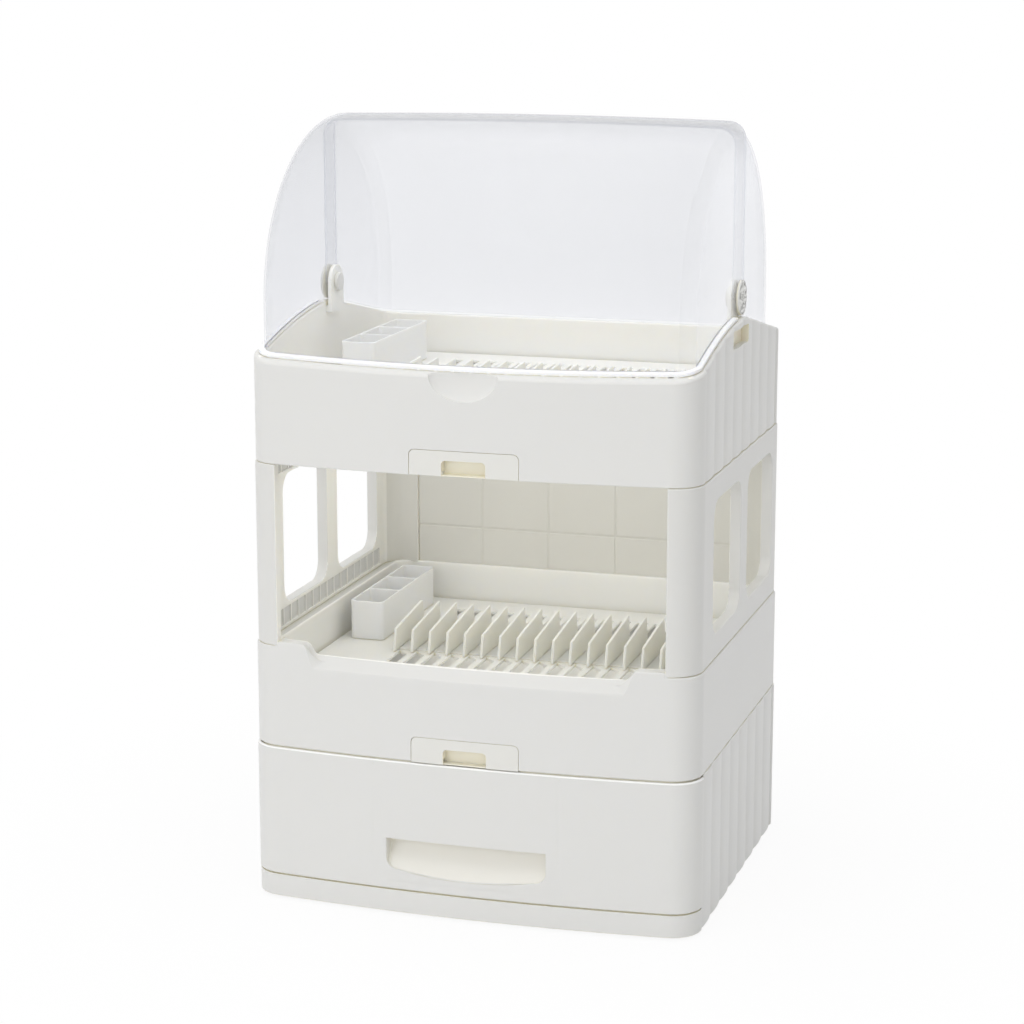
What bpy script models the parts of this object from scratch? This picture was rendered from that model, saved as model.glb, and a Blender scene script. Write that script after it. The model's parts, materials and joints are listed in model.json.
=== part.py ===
"""Covered dish drainer: a two-tier stack with a drawer base and a clear flip-up hood.

The stack stands on rubber feet. From the floor up it is a fluted base housing with a
bow-fronted drawer, a lower tray, a windowed frame of two side panels and a back panel,
and an upper tray with a rim that rises to the hood hinges. Each tray holds a finned dish
rack, a three-part cutlery caddy and a small drip tray that pulls out at the front. The
hood is two clear shells, front and rear, that turn on one pair of hinge pins.

Metres, +Z up, front towards -Y. The origin is on the floor, in the middle of the plan.
"""

import math

import bmesh
import bpy
from mathutils import Matrix, Vector

# Plan of the whole stack
DEPTH = 0.420
FRONT_BOW = 0.0146
FRONT_CORNER_RADIUS = 0.032
REAR_CORNER_RADIUS = 0.030
WIDTH = 0.483
BASE_INSET = 0.0005
LOWER_TRAY_INSET = 0.0015
FRAME_INSET = 0.003
UPPER_TRAY_INSET = 0.004

# Heights of the tiers
FLOOR_CLEARANCE = 0.003
PLINTH_HEIGHT = 0.024
DRAWER_HEIGHT = 0.142
LOWER_TRAY_HEIGHT = 0.108
FRAME_HEIGHT = 0.1925
UPPER_TRAY_HEIGHT = 0.1025
RIM_RISE = 0.0385
REAR_RIM_DROP = 0.001

# Clearances and cutting room
SEAT_GAP = 0.0003
PANEL_GAP = 0.0005
REVEAL_GAP = 0.0015
OVERRUN = 0.010
OVERLAP = 0.001
WELD_DISTANCE = 0.000001

# Walls
OUTER_WALL = 0.003
BASIN_WALL = 0.003
BASIN_FLOOR_THICKNESS = 0.003
DOUBLE_WALL = 0.012
EDGE_ROUND = 0.0015

# Flutes on the sides of the base and of the upper tray
FLUTE_COUNT = 8
FLUTE_DEPTH = 0.0012
FLUTE_STEPS = 3
CREASE_RUN = 0.003

# Facets of the plan's arcs
BOW_STEPS = 12
FRONT_CORNER_STEPS = 6
REAR_CORNER_STEPS = 5

# Base housing
BASE_FLOOR_THICKNESS = 0.003
RUNNER_WIDTH = 0.008
RUNNER_HEIGHT = 0.004
RUNNER_INSET = 0.012
STIFFENER_THICKNESS = 0.0025
STIFFENER_COUNT = 3
FOOT_RADIUS = 0.009
FOOT_HEIGHT = 0.0045
FOOT_BOSS_RADIUS = 0.012
FOOT_INSET_SIDE = 0.036
FOOT_INSET_FRONT = 0.046
FOOT_INSET_REAR = 0.040
FOOT_EDGE = 0.001
FOOT_STEPS = 20

# Drawer
DRAWER_FRONT_THICKNESS = 0.003
BIN_WALL = 0.002
BIN_SIDE_CLEARANCE = 0.004
BIN_REAR_CLEARANCE = 0.008
BIN_TOP_CLEARANCE = 0.012
BIN_CORNER_RADIUS = 0.024
BIN_CORNER_STEPS = 4
HANDLE_WIDTH = 0.172
HANDLE_TOP = 0.056
HANDLE_HEIGHT = 0.039
HANDLE_LIP_RISE = 0.006
HANDLE_DEPTH = 0.018
HANDLE_BAND_HEIGHT = 0.009
HANDLE_CORNER_RADIUS = 0.012
HANDLE_CORNER_STEPS = 4
HANDLE_LIP_STEPS = 6
HANDLE_POCKET_WALL = 0.003

# Lower tray
FLANGE_WIDTH = 0.027
FLANGE_THICKNESS = 0.005
FRONT_WALL_RISE = 0.005
SILL_DROP = 0.009
SILL_SLOPE_WIDTH = 0.0105
SILL_SLOPE_HEIGHT = 0.011
SILL_SIDE = 0.077
SILL_SHOULDER = 0.016
SILL_SHOULDER_STEPS = 6
SILL_BLOCK_HEIGHT = 0.042
DRAIN_HALF_WIDTH = 0.020
DRAIN_SETBACK = 0.060
DRAIN_LENGTH = 0.100
DRAIN_CORNER_RADIUS = 0.006
DRAIN_CORNER_STEPS = 3

# Drip trays
TAB_WIDTH = 0.115
TAB_HEIGHT = 0.0265
TAB_THICKNESS = 0.003
TAB_CORNER_RADIUS = 0.006
TAB_CORNER_STEPS = 4
TAB_GAP = 0.0008
NOTCH_WIDTH = 0.046
NOTCH_HEIGHT = 0.016
NOTCH_DEPTH = 0.010
NOTCH_CORNER_RADIUS = 0.004
DRIP_SIDE_CLEARANCE = 0.003
DRIP_LIFT = 0.0045
DRIP_LENGTH = 0.190
DRIP_WALL = 0.002
DRIP_TOP_CLEARANCE = 0.0045
DRIP_RUNNER_THICKNESS = 0.0025
DRIP_RUNNER_FOOT = 0.006
DRIP_RUNNER_FOOT_THICKNESS = 0.0025

# Dish racks
FIN_COUNT = 17
FIN_START_MARGIN = 0.027
FIN_END_MARGIN = 0.0282
FIN_THICKNESS = 0.003
FIN_SPAN_SHARE = 0.238
FIN_LEAN = 0.009
FIN_PEAK_SETBACK = 0.003
FIN_FRONT_SHARE = 0.66
LOWER_FIN_HEIGHT = 0.0375
UPPER_FIN_HEIGHT = 0.021
LOWER_RACK_LIFT = 0.035
UPPER_RACK_LIFT = 0.0255
RACK_PLATE_THICKNESS = 0.0035
RACK_CLEARANCE = 0.003
RACK_BAR_WIDTH = 0.0073
RACK_SLOT_FRONT_MARGIN = 0.075
RACK_SLOT_REAR_MARGIN = 0.060
RACK_SLOT_REACH = 0.0094
RACK_SLOT_SLANT = 0.013
COMB_BASE_THICKNESS = 0.002
COMB_BASE_END = 0.005
COMB_BASE_SETBACK = 0.012
COMB_CLEARANCE = 0.0003
RACK_LEG_WIDTH = 0.010
RACK_LEG_INSET = 0.022

# Cutlery caddies
CADDY_WIDTH = 0.0385
CADDY_LENGTH = 0.178
CADDY_HEIGHT = 0.043
CADDY_SIDE_MARGIN = 0.0155
CADDY_REAR_MARGIN = 0.030
CADDY_SHIFT = 0.018
CADDY_WALL = 0.002
CADDY_BAYS = 3
CADDY_CORNER_RADIUS = 0.006
CADDY_CORNER_STEPS = 2

# Windowed frame
PILLAR_WIDTH = 0.0315
REAR_RETURN_WIDTH = 0.049
WINDOW_COUNT = 2
WINDOW_FRONT_MARGIN = 0.082
WINDOW_REAR_MARGIN = 0.050
WINDOW_BAR = 0.032
WINDOW_LEVEL_MARGIN = 0.02625
WINDOW_CORNER_RADIUS = 0.020
WINDOW_CORNER_STEPS = 4
POCKET_COUNT = 15
POCKET_RIB = 0.0025
POCKET_FRONT_MARGIN = 0.059
POCKET_REAR_MARGIN = 0.0425
POCKET_HEIGHT = 0.018
POCKET_DEPTH = 0.009
BACK_PANEL_THICKNESS = 0.006
BACK_PANEL_SETBACK = 0.002
BACK_GROOVE_WIDTH = 0.0025
BACK_GROOVE_DEPTH = 0.0008
BACK_GROOVE_PITCH = 0.080
BACK_GROOVE_COUNT = 4
BACK_GROOVE_LEVEL = 0.053

# Upper tray
UPPER_RIM_HEIGHT = 0.027
SCOOP_HALF_WIDTH = 0.037
SCOOP_DEPTH = 0.0132
SCOOP_HEIGHT = 0.019
SCOOP_SEGMENTS = 24
SCOOP_RINGS = 13
HAND_HOLD_LENGTH = 0.072
HAND_HOLD_HEIGHT = 0.019
HAND_HOLD_SETBACK = 0.068
HAND_HOLD_DROP = 0.0265
HAND_HOLD_DEPTH = 0.008
HAND_HOLD_CORNER_RADIUS = 0.003
HAND_HOLD_CORNER_STEPS = 2
RIM_FRONT_STEPS = 10

# Hinges
HINGE_Y = 0.022
HINGE_ABOVE_RIM = 0.0195
EAR_RADIUS = 0.0185
EAR_THICKNESS = 0.004
EAR_INSET = 0.0065
EAR_STEPS = 20
EAR_ROOT = 0.024
PIN_RADIUS = 0.0045
PIN_CLEARANCE = 0.0003
KNOB_RADIUS = 0.0185
KNOB_THICKNESS = 0.004
KNOB_CROWN = 0.0012
KNOB_STEPS = 26
CAP_RADIUS = 0.010
CAP_THICKNESS = 0.004
CAP_SOCKET_DEPTH = 0.0025
CAP_CROWN = 0.0008

# Hood
HOOD_FRONT_SETBACK = 0.0139
HOOD_REAR_SETBACK = 0.027
HOOD_RISE_MARGIN = 0.018
HOOD_WALL = 0.002
HOOD_CROWN = 0.003
HOOD_EDGE_RADIUS = 0.018
HOOD_EDGE_STEPS = 3
HOOD_NEST_GAP = 0.0018
HOOD_SIDE_GAP = 0.0004
HOOD_RIM_GAP = 0.001
HOOD_COLUMNS = 6
HOOD_ARC_STEPS = 10
HOOD_SKIRT = 0.110
HOOD_LIP = 0.005
LUG_RADIUS = 0.0185
LUG_STEPS = 8

# Levels that follow from the tiers
DRAWER_BOTTOM = FLOOR_CLEARANCE + PLINTH_HEIGHT
LOWER_TRAY_BOTTOM = DRAWER_BOTTOM + DRAWER_HEIGHT
FLANGE_TOP = LOWER_TRAY_BOTTOM + LOWER_TRAY_HEIGHT
UPPER_TRAY_BOTTOM = FLANGE_TOP + FRAME_HEIGHT
FRONT_RIM = UPPER_TRAY_BOTTOM + UPPER_TRAY_HEIGHT
RIM_PEAK = FRONT_RIM + RIM_RISE
REAR_RIM = FRONT_RIM - REAR_RIM_DROP
HINGE_Z = RIM_PEAK + HINGE_ABOVE_RIM
DRIP_ROOM = TAB_HEIGHT + DRIP_TOP_CLEARANCE
LOWER_BASIN_FLOOR = LOWER_TRAY_BOTTOM + DRIP_ROOM + BASIN_FLOOR_THICKNESS
UPPER_BASIN_FLOOR = UPPER_TRAY_BOTTOM + DRIP_ROOM + BASIN_FLOOR_THICKNESS
LOWER_PLATE_TOP = LOWER_BASIN_FLOOR + LOWER_RACK_LIFT
UPPER_PLATE_TOP = UPPER_BASIN_FLOOR + UPPER_RACK_LIFT

# Widths that follow from the drawer's
DRAWER_WIDTH = WIDTH
BASE_WIDTH = WIDTH - 2 * BASE_INSET
LOWER_TRAY_WIDTH = WIDTH - 2 * LOWER_TRAY_INSET
FRAME_WIDTH = WIDTH - 2 * FRAME_INSET
UPPER_TRAY_WIDTH = WIDTH - 2 * UPPER_TRAY_INSET
LOWER_BASIN_WIDTH = LOWER_TRAY_WIDTH - 2 * (FLANGE_WIDTH - DOUBLE_WALL)
BASIN_INNER_X = LOWER_BASIN_WIDTH / 2 - DOUBLE_WALL
SILL_HALF_WIDTH = LOWER_TRAY_WIDTH / 2 - SILL_SIDE
CADDY_LEFT_X = CADDY_SIDE_MARGIN - BASIN_INNER_X
FIRST_FIN_X = CADDY_LEFT_X + CADDY_WIDTH + FIN_START_MARGIN
FIN_PITCH = (BASIN_INNER_X - FIN_END_MARGIN - FIRST_FIN_X) / (FIN_COUNT - 1)
RACK_SLOT_WIDTH = FIN_PITCH - RACK_BAR_WIDTH
EAR_INNER_X = UPPER_TRAY_WIDTH / 2 - DOUBLE_WALL - EAR_INSET

# Places from front to rear
FRONT_Y = -DEPTH / 2
REAR_Y = DEPTH / 2
DRAIN_FRONT = FRONT_Y + DRAIN_SETBACK
FIN_REAR_Y = REAR_Y * FIN_SPAN_SHARE
FIN_FRONT_Y = -FIN_REAR_Y
LAST_FIN_X = FIRST_FIN_X + FIN_PITCH * (FIN_COUNT - 1)
RACK_SLOT_FRONT = FRONT_Y + RACK_SLOT_FRONT_MARGIN
RACK_SLOT_REAR = REAR_Y - RACK_SLOT_REAR_MARGIN
CADDY_FRONT_Y = REAR_Y - DOUBLE_WALL - CADDY_REAR_MARGIN - CADDY_LENGTH
WINDOWS_RUN = DEPTH - WINDOW_FRONT_MARGIN - WINDOW_REAR_MARGIN
WINDOW_PITCH = (WINDOWS_RUN + WINDOW_BAR) / WINDOW_COUNT
WINDOW_LENGTH = WINDOW_PITCH - WINDOW_BAR
WINDOW_HEIGHT = FRAME_HEIGHT - 2 * WINDOW_LEVEL_MARGIN
WINDOW_FRONT_Y = FRONT_Y + WINDOW_FRONT_MARGIN
POCKETS_RUN = DEPTH - POCKET_FRONT_MARGIN - POCKET_REAR_MARGIN
POCKET_PITCH = (POCKETS_RUN + POCKET_RIB) / POCKET_COUNT
POCKET_LENGTH = POCKET_PITCH - POCKET_RIB
POCKET_FRONT_Y = FRONT_Y + POCKET_FRONT_MARGIN
HAND_HOLD_FRONT_Y = HINGE_Y - HAND_HOLD_SETBACK
UPPER_UNDERCUT_HEIGHT = UPPER_TRAY_HEIGHT - UPPER_RIM_HEIGHT
FRONT_HOOD_REACH = HINGE_Y - FRONT_Y - FRONT_BOW - HOOD_FRONT_SETBACK
REAR_HOOD_REACH = REAR_Y - HINGE_Y - HOOD_REAR_SETBACK
HOOD_RISE = FRONT_HOOD_REACH - HOOD_RISE_MARGIN

FINISHES = {
    "ivory": ((0.86, 0.85, 0.81, 1.0), 0.34, 0.0, 0.0),
    "cream": ((0.84, 0.82, 0.74, 1.0), 0.38, 0.0, 0.0),
    "clear": ((0.92, 0.94, 0.97, 1.0), 0.08, 0.0, 0.9),
    "knob": ((0.80, 0.80, 0.78, 1.0), 0.12, 0.0, 0.5),
    "rubber": ((0.10, 0.10, 0.10, 1.0), 0.80, 0.0, 0.0),
}


def clear_scene():
    """Remove every object of the startup scene."""
    for scene_object in list(bpy.data.objects):
        bpy.data.objects.remove(scene_object, do_unlink=True)


def make_collection(name):
    """Add a collection to the scene."""
    collection = bpy.data.collections.new(name)
    bpy.context.scene.collection.children.link(collection)
    return collection


clear_scene()
PARTS = make_collection("covered_dish_drainer")
CUTTERS = make_collection("cutters")


def make_material(name, finish):
    """Give a piece its own Principled material of one of the finishes."""
    colour, roughness, metallic, transmission = FINISHES[finish]
    material = bpy.data.materials.new(name)
    material.use_nodes = True
    shader = material.node_tree.nodes["Principled BSDF"]
    shader.inputs["Base Color"].default_value = colour
    shader.inputs["Roughness"].default_value = roughness
    shader.inputs["Metallic"].default_value = metallic
    shader.inputs["Transmission Weight"].default_value = transmission
    material.diffuse_color = colour
    return material


def solid(name, mesh_data):
    """Link a closed mesh as a tool; finish_part later turns some tools into parts."""
    tool = bpy.data.objects.new(name, mesh_data)
    tool.hide_render = True
    tool.display_type = "WIRE"
    CUTTERS.objects.link(tool)
    return tool


def finish_part(tool, finish, pivot=None):
    """Turn a tool into a named part with its own material, its origin on its joint's axis."""
    CUTTERS.objects.unlink(tool)
    PARTS.objects.link(tool)
    tool.hide_render = False
    tool.display_type = "TEXTURED"
    tool.data.materials.clear()
    tool.data.materials.append(make_material(tool.name, finish))
    if pivot is not None:
        tool.data.transform(Matrix.Translation(-Vector(pivot)))
        tool.location = pivot
    return tool


def smooth(tool, limit_degrees):
    """Shade a round piece smooth, with sharp edges above the limit."""
    tool.data.shade_smooth()
    tool.data.set_sharp_from_angle(angle=math.radians(limit_degrees))


def boolean(target, operation, tool):
    """Cut, join or intersect a piece with a tool."""
    modifier = target.modifiers.new(operation.lower() + "_" + tool.name, "BOOLEAN")
    modifier.operation = operation
    modifier.solver = "EXACT"
    modifier.object = tool


def cut(target, tool):
    """Take the tool's volume out of a piece."""
    boolean(target, "DIFFERENCE", tool)


def join(target, tool):
    """Add the tool's volume to a piece."""
    boolean(target, "UNION", tool)


def keep(target, tool):
    """Keep only what a piece shares with the tool."""
    boolean(target, "INTERSECT", tool)


def round_edges(target, width):
    """Round the edges sharper than a right angle's share, before any cut."""
    modifier = target.modifiers.new("edge_round", "BEVEL")
    modifier.width = width
    modifier.segments = 2
    modifier.limit_method = "ANGLE"
    modifier.angle_limit = math.radians(60)


def repeat(target, count, step):
    """Repeat a tool in a row by an array."""
    modifier = target.modifiers.new("row", "ARRAY")
    modifier.use_relative_offset = False
    modifier.use_constant_offset = True
    modifier.constant_offset_displace = step
    modifier.count = count


def box(name, low, high):
    """A block between two corners."""
    shape = bmesh.new()
    bmesh.ops.create_cube(shape, size=1.0)
    low_corner = Vector(low)
    high_corner = Vector(high)
    centre = (low_corner + high_corner) / 2
    extent = high_corner - low_corner
    placing = Matrix.Translation(centre) @ Matrix.Diagonal((*extent, 1.0))
    bmesh.ops.transform(shape, matrix=placing, verts=shape.verts)
    mesh_data = bpy.data.meshes.new(name)
    shape.to_mesh(mesh_data)
    shape.free()
    return solid(name, mesh_data)


def slab(name, outline, bottom, top):
    """An upright slab with the given plan outline."""
    curve = bpy.data.curves.new(name + "_outline", "CURVE")
    curve.dimensions = "2D"
    curve.fill_mode = "BOTH"
    curve.extrude = (top - bottom) / 2
    spline = curve.splines.new("POLY")
    spline.points.add(len(outline) - 1)
    for point, corner in zip(spline.points, outline):
        point.co = (corner[0], corner[1], 0.0, 1.0)
    spline.use_cyclic_u = True
    holder = bpy.data.objects.new(name + "_outline", curve)
    CUTTERS.objects.link(holder)
    bpy.context.view_layer.update()
    evaluated = holder.evaluated_get(bpy.context.evaluated_depsgraph_get())
    mesh_data = bpy.data.meshes.new_from_object(evaluated)
    bpy.data.objects.remove(holder, do_unlink=True)
    shape = bmesh.new()
    shape.from_mesh(mesh_data)
    bmesh.ops.remove_doubles(shape, verts=shape.verts, dist=WELD_DISTANCE)
    bmesh.ops.dissolve_limit(
        shape,
        angle_limit=math.radians(0.1),
        verts=shape.verts,
        edges=shape.edges,
    )
    bmesh.ops.recalc_face_normals(shape, faces=shape.faces)
    bmesh.ops.translate(shape, vec=(0, 0, (top + bottom) / 2), verts=shape.verts)
    shape.to_mesh(mesh_data)
    shape.free()
    mesh_data.name = name
    return solid(name, mesh_data)


def side_prism(name, profile, left, right):
    """A prism along X whose profile holds Y and Z."""
    prism = slab(name, profile, left, right)
    prism.data.transform(Matrix(((0, 0, 1, 0), (1, 0, 0, 0), (0, 1, 0, 0), (0, 0, 0, 1))))
    return prism


def front_prism(name, profile, front, back):
    """A prism along Y whose profile holds X and Z."""
    prism = slab(name, profile, -back, -front)
    prism.data.transform(Matrix.Rotation(math.radians(90), 4, "X"))
    return prism


def upright_disc(name, centre, radius, bottom, top, steps):
    """A round disc or pin along Z."""
    shape = bmesh.new()
    bmesh.ops.create_cone(
        shape,
        cap_ends=True,
        segments=steps,
        radius1=radius,
        radius2=radius,
        depth=top - bottom,
    )
    place = Vector((centre[0], centre[1], (top + bottom) / 2))
    bmesh.ops.translate(shape, vec=place, verts=shape.verts)
    mesh_data = bpy.data.meshes.new(name)
    shape.to_mesh(mesh_data)
    shape.free()
    return solid(name, mesh_data)


def side_disc(name, radius, left, right, steps):
    """A round disc or pin along X on the hinge axis."""
    disc = upright_disc(name, (0, 0), radius, left, right, steps)
    disc.data.transform(Matrix.Rotation(math.radians(90), 4, "Y"))
    disc.data.transform(Matrix.Translation((0, HINGE_Y, HINGE_Z)))
    return disc


def turned(name, profile, steps):
    """A piece turned about X, from a profile of positions along X and radii, tip to base."""
    mesh_data = bpy.data.meshes.new(name)
    rows = [(radius, 0.0, along) for along, radius in profile]
    links = [(index, index + 1) for index in range(len(rows) - 1)]
    mesh_data.from_pydata(rows, links, [])
    piece = solid(name, mesh_data)
    screw = piece.modifiers.new("turn", "SCREW")
    screw.axis = "Z"
    screw.steps = steps
    screw.render_steps = steps
    screw.use_merge_vertices = True
    screw.merge_threshold = WELD_DISTANCE
    return piece


def rounded_rectangle(left, right, front, back, radius, steps):
    """Corners of a rounded rectangle, counter-clockwise."""
    centres = (
        (right - radius, front + radius, -90),
        (right - radius, back - radius, 0),
        (left + radius, back - radius, 90),
        (left + radius, front + radius, 180),
    )
    outline = []
    for centre_x, centre_y, start in centres:
        for step in range(steps + 1):
            angle = math.radians(start + 90 * step / steps)
            outline.append((centre_x + radius * math.cos(angle), centre_y + radius * math.sin(angle)))
    return outline


def bow(x, width):
    """How far the front line lies behind its middle at x."""
    return FRONT_BOW * (x / (width / 2)) ** 2


def front_corner(width, inset):
    """Where the front corner's arc leaves the bow: x, y, the bow's slope and the radius."""
    radius = FRONT_CORNER_RADIUS - inset
    slope = 0.0
    for _ in range(3):
        meet_x = width / 2 - inset - radius * (1 - math.sin(slope))
        slope = math.atan(2 * bow(meet_x, width) / meet_x)
    return meet_x, FRONT_Y + inset + bow(meet_x, width), slope, radius


def crease_y(width):
    """Where the front corner's arc ends and the straight side begins."""
    meet_x, meet_y, slope, radius = front_corner(width, 0.0)
    return meet_y + radius * math.cos(slope)


def side_line(half, start, end, fluted):
    """The side from the front crease to the rear corner, plain or with convex flutes."""
    if not fluted:
        return []
    line = []
    pitch = (end - start - 2 * CREASE_RUN) / FLUTE_COUNT
    for flute in range(FLUTE_COUNT):
        for step in range(FLUTE_STEPS):
            share = step / FLUTE_STEPS
            y = start + CREASE_RUN + pitch * (flute + share)
            line.append((half - FLUTE_DEPTH * (2 * share - 1) ** 2, y))
    line.append((half - FLUTE_DEPTH, end - CREASE_RUN))
    return line


def plan_outline(width, inset=0.0, fluted=False):
    """The stack's plan, counter-clockwise from the middle of the front bow."""
    half = width / 2 - inset
    meet_x, meet_y, slope, radius = front_corner(width, inset)
    bow_half_steps = BOW_STEPS // 2
    right_half = []
    for step in range(bow_half_steps):
        x = meet_x * step / bow_half_steps
        right_half.append((x, FRONT_Y + inset + bow(x, width)))
    centre_x = half - radius
    centre_y = meet_y + radius * math.cos(slope)
    start = slope - math.pi / 2
    for step in range(FRONT_CORNER_STEPS + 1):
        angle = start * (1 - step / FRONT_CORNER_STEPS)
        right_half.append((centre_x + radius * math.cos(angle), centre_y + radius * math.sin(angle)))
    rear_radius = REAR_CORNER_RADIUS - inset
    rear_centre_y = REAR_Y - inset - rear_radius
    right_half += side_line(half, centre_y, rear_centre_y, fluted)
    for step in range(REAR_CORNER_STEPS + 1):
        angle = math.pi / 2 * step / REAR_CORNER_STEPS
        x = half - rear_radius + rear_radius * math.cos(angle)
        right_half.append((x, rear_centre_y + rear_radius * math.sin(angle)))
    left_half = [(-x, y) for x, y in reversed(right_half) if x > 0]
    return right_half + left_half


def rim_height(y):
    """Top of the upper tray's rim along its side: a quarter sine up, then a straight fall."""
    if y <= HINGE_Y:
        share = max(0.0, (y - FRONT_Y) / (HINGE_Y - FRONT_Y))
        return FRONT_RIM + RIM_RISE * math.sin(math.pi / 2 * share)
    share = (y - HINGE_Y) / (REAR_Y - HINGE_Y)
    return RIM_PEAK + (REAR_RIM - RIM_PEAK) * share


def rim_line(front, back, raised):
    """Points along the rim from front to back, raised by a gap."""
    stations = [front + (HINGE_Y - front) * step / RIM_FRONT_STEPS for step in range(RIM_FRONT_STEPS + 1)]
    if back > HINGE_Y:
        stations.append(back)
    return [(y, rim_height(y) + raised) for y in stations]


def foot_places():
    """Plan positions of the four feet, by name."""
    across = BASE_WIDTH / 2 - FOOT_INSET_SIDE
    front = FRONT_Y + FOOT_INSET_FRONT
    back = REAR_Y - FOOT_INSET_REAR
    return {
        "front_left_foot": (-across, front),
        "front_right_foot": (across, front),
        "rear_left_foot": (-across, back),
        "rear_right_foot": (across, back),
    }


def build_feet():
    """Four rubber feet, seated under the bosses of the base."""
    for name, place in foot_places().items():
        foot = upright_disc(name, place, FOOT_RADIUS, 0.0, FOOT_HEIGHT, FOOT_STEPS)
        round_edges(foot, FOOT_EDGE)
        smooth(foot, 40)
        finish_part(foot, "rubber")


def build_base_housing():
    """Fluted housing with plinth, open drawer bay, runners, stiffeners and foot bosses."""
    crease = crease_y(BASE_WIDTH) + OVERLAP
    floor_underside = DRAWER_BOTTOM - BASE_FLOOR_THICKNESS
    inner = plan_outline(BASE_WIDTH, OUTER_WALL)
    half = BASE_WIDTH / 2
    top = LOWER_TRAY_BOTTOM
    housing = slab("base_housing", plan_outline(BASE_WIDTH, fluted=True), FLOOR_CLEARANCE, top)
    round_edges(housing, EDGE_ROUND)
    cut(housing, slab("base_bay", inner, DRAWER_BOTTOM, top + OVERRUN))
    front_cut = box(
        "base_front_cut",
        (-half - OVERRUN, FRONT_Y - OVERRUN, DRAWER_BOTTOM),
        (half + OVERRUN, crease, top + OVERRUN),
    )
    cut(housing, front_cut)
    cut(housing, slab("base_underside", inner, FLOOR_CLEARANCE - OVERRUN, floor_underside))
    boss_bottom = FOOT_HEIGHT + SEAT_GAP
    for name, place in foot_places().items():
        boss = upright_disc(
            name + "_boss",
            place,
            FOOT_BOSS_RADIUS,
            boss_bottom,
            floor_underside + OVERLAP,
            FOOT_STEPS,
        )
        join(housing, boss)
    rib_pitch = DEPTH / (STIFFENER_COUNT + 1)
    rib_front = FRONT_Y + rib_pitch - STIFFENER_THICKNESS / 2
    rib = box(
        "base_ribs",
        (-half + OUTER_WALL / 2, rib_front, boss_bottom),
        (half - OUTER_WALL / 2, rib_front + STIFFENER_THICKNESS, floor_underside + OVERLAP),
    )
    repeat(rib, STIFFENER_COUNT, (0, rib_pitch, 0))
    join(housing, rib)
    runner_x = half - OUTER_WALL - RUNNER_INSET
    runner = box(
        "base_runners",
        (-runner_x, crease + OVERRUN, DRAWER_BOTTOM - OVERLAP),
        (-runner_x + RUNNER_WIDTH, REAR_Y - REAR_CORNER_RADIUS, DRAWER_BOTTOM + RUNNER_HEIGHT),
    )
    repeat(runner, 2, (2 * runner_x - RUNNER_WIDTH, 0, 0))
    join(housing, runner)
    return finish_part(housing, "ivory")


def handle_opening(grow):
    """Front outline of the handle recess, or of its wall when grown."""
    half = HANDLE_WIDTH / 2 + grow
    radius = HANDLE_CORNER_RADIUS + grow
    top = DRAWER_BOTTOM + HANDLE_TOP + grow
    bottom = DRAWER_BOTTOM + HANDLE_TOP - HANDLE_HEIGHT - grow
    arc_x = half - radius
    arc_z = bottom + HANDLE_LIP_RISE + radius
    right_half = []
    for step in range(HANDLE_LIP_STEPS):
        share = step / HANDLE_LIP_STEPS
        right_half.append((arc_x * share, bottom + HANDLE_LIP_RISE * share**2))
    for step in range(HANDLE_CORNER_STEPS + 1):
        angle = math.pi / 2 * (step / HANDLE_CORNER_STEPS - 1)
        right_half.append((arc_x + radius * math.cos(angle), arc_z + radius * math.sin(angle)))
    right_half.append((half, top))
    return right_half + [(-x, z) for x, z in reversed(right_half) if x > 0]


def handle_recess(name, grow, front):
    """The recess's volume: its front outline, back band and sloping ramp."""
    top = DRAWER_BOTTOM + HANDLE_TOP
    band_bottom = top - HANDLE_BAND_HEIGHT
    lip = top - HANDLE_HEIGHT
    ramp_length = math.hypot(band_bottom - lip, HANDLE_DEPTH)
    drop = grow * ramp_length / HANDLE_DEPTH
    back = FRONT_Y + HANDLE_DEPTH + grow
    band_drop = drop - grow * (band_bottom - lip) / HANDLE_DEPTH
    profile = (
        (FRONT_Y - OVERRUN, lip - drop - OVERRUN * (band_bottom - lip) / HANDLE_DEPTH),
        (back, band_bottom - band_drop),
        (back, top + grow),
        (FRONT_Y - OVERRUN, top + grow),
    )
    half = HANDLE_WIDTH / 2 + grow
    recess = side_prism(name, profile, -half - OVERRUN, half + OVERRUN)
    opening = front_prism(name + "_opening", handle_opening(grow), front, back + OVERRUN)
    keep(recess, opening)
    return recess


def build_drawer_front():
    """Bow-fronted panel that wraps both front corners, with the handle recess."""
    bottom = DRAWER_BOTTOM + REVEAL_GAP
    top = LOWER_TRAY_BOTTOM - REVEAL_GAP
    half = DRAWER_WIDTH / 2
    front = slab("drawer_front", plan_outline(DRAWER_WIDTH), bottom, top)
    round_edges(front, EDGE_ROUND)
    inner = plan_outline(DRAWER_WIDTH, DRAWER_FRONT_THICKNESS)
    cut(front, slab("drawer_front_inside", inner, bottom - OVERRUN, top + OVERRUN))
    rear_cut = box(
        "drawer_front_rear_cut",
        (-half - OVERRUN, crease_y(BASE_WIDTH) + OVERLAP - PANEL_GAP, bottom - OVERRUN),
        (half + OVERRUN, REAR_Y + OVERRUN, top + OVERRUN),
    )
    cut(front, rear_cut)
    behind_skin = FRONT_Y + DRAWER_FRONT_THICKNESS - OVERLAP
    join(front, handle_recess("handle_wall", HANDLE_POCKET_WALL, behind_skin))
    cut(front, handle_recess("handle_recess", 0.0, FRONT_Y - OVERRUN))
    return finish_part(front, "ivory")


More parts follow.
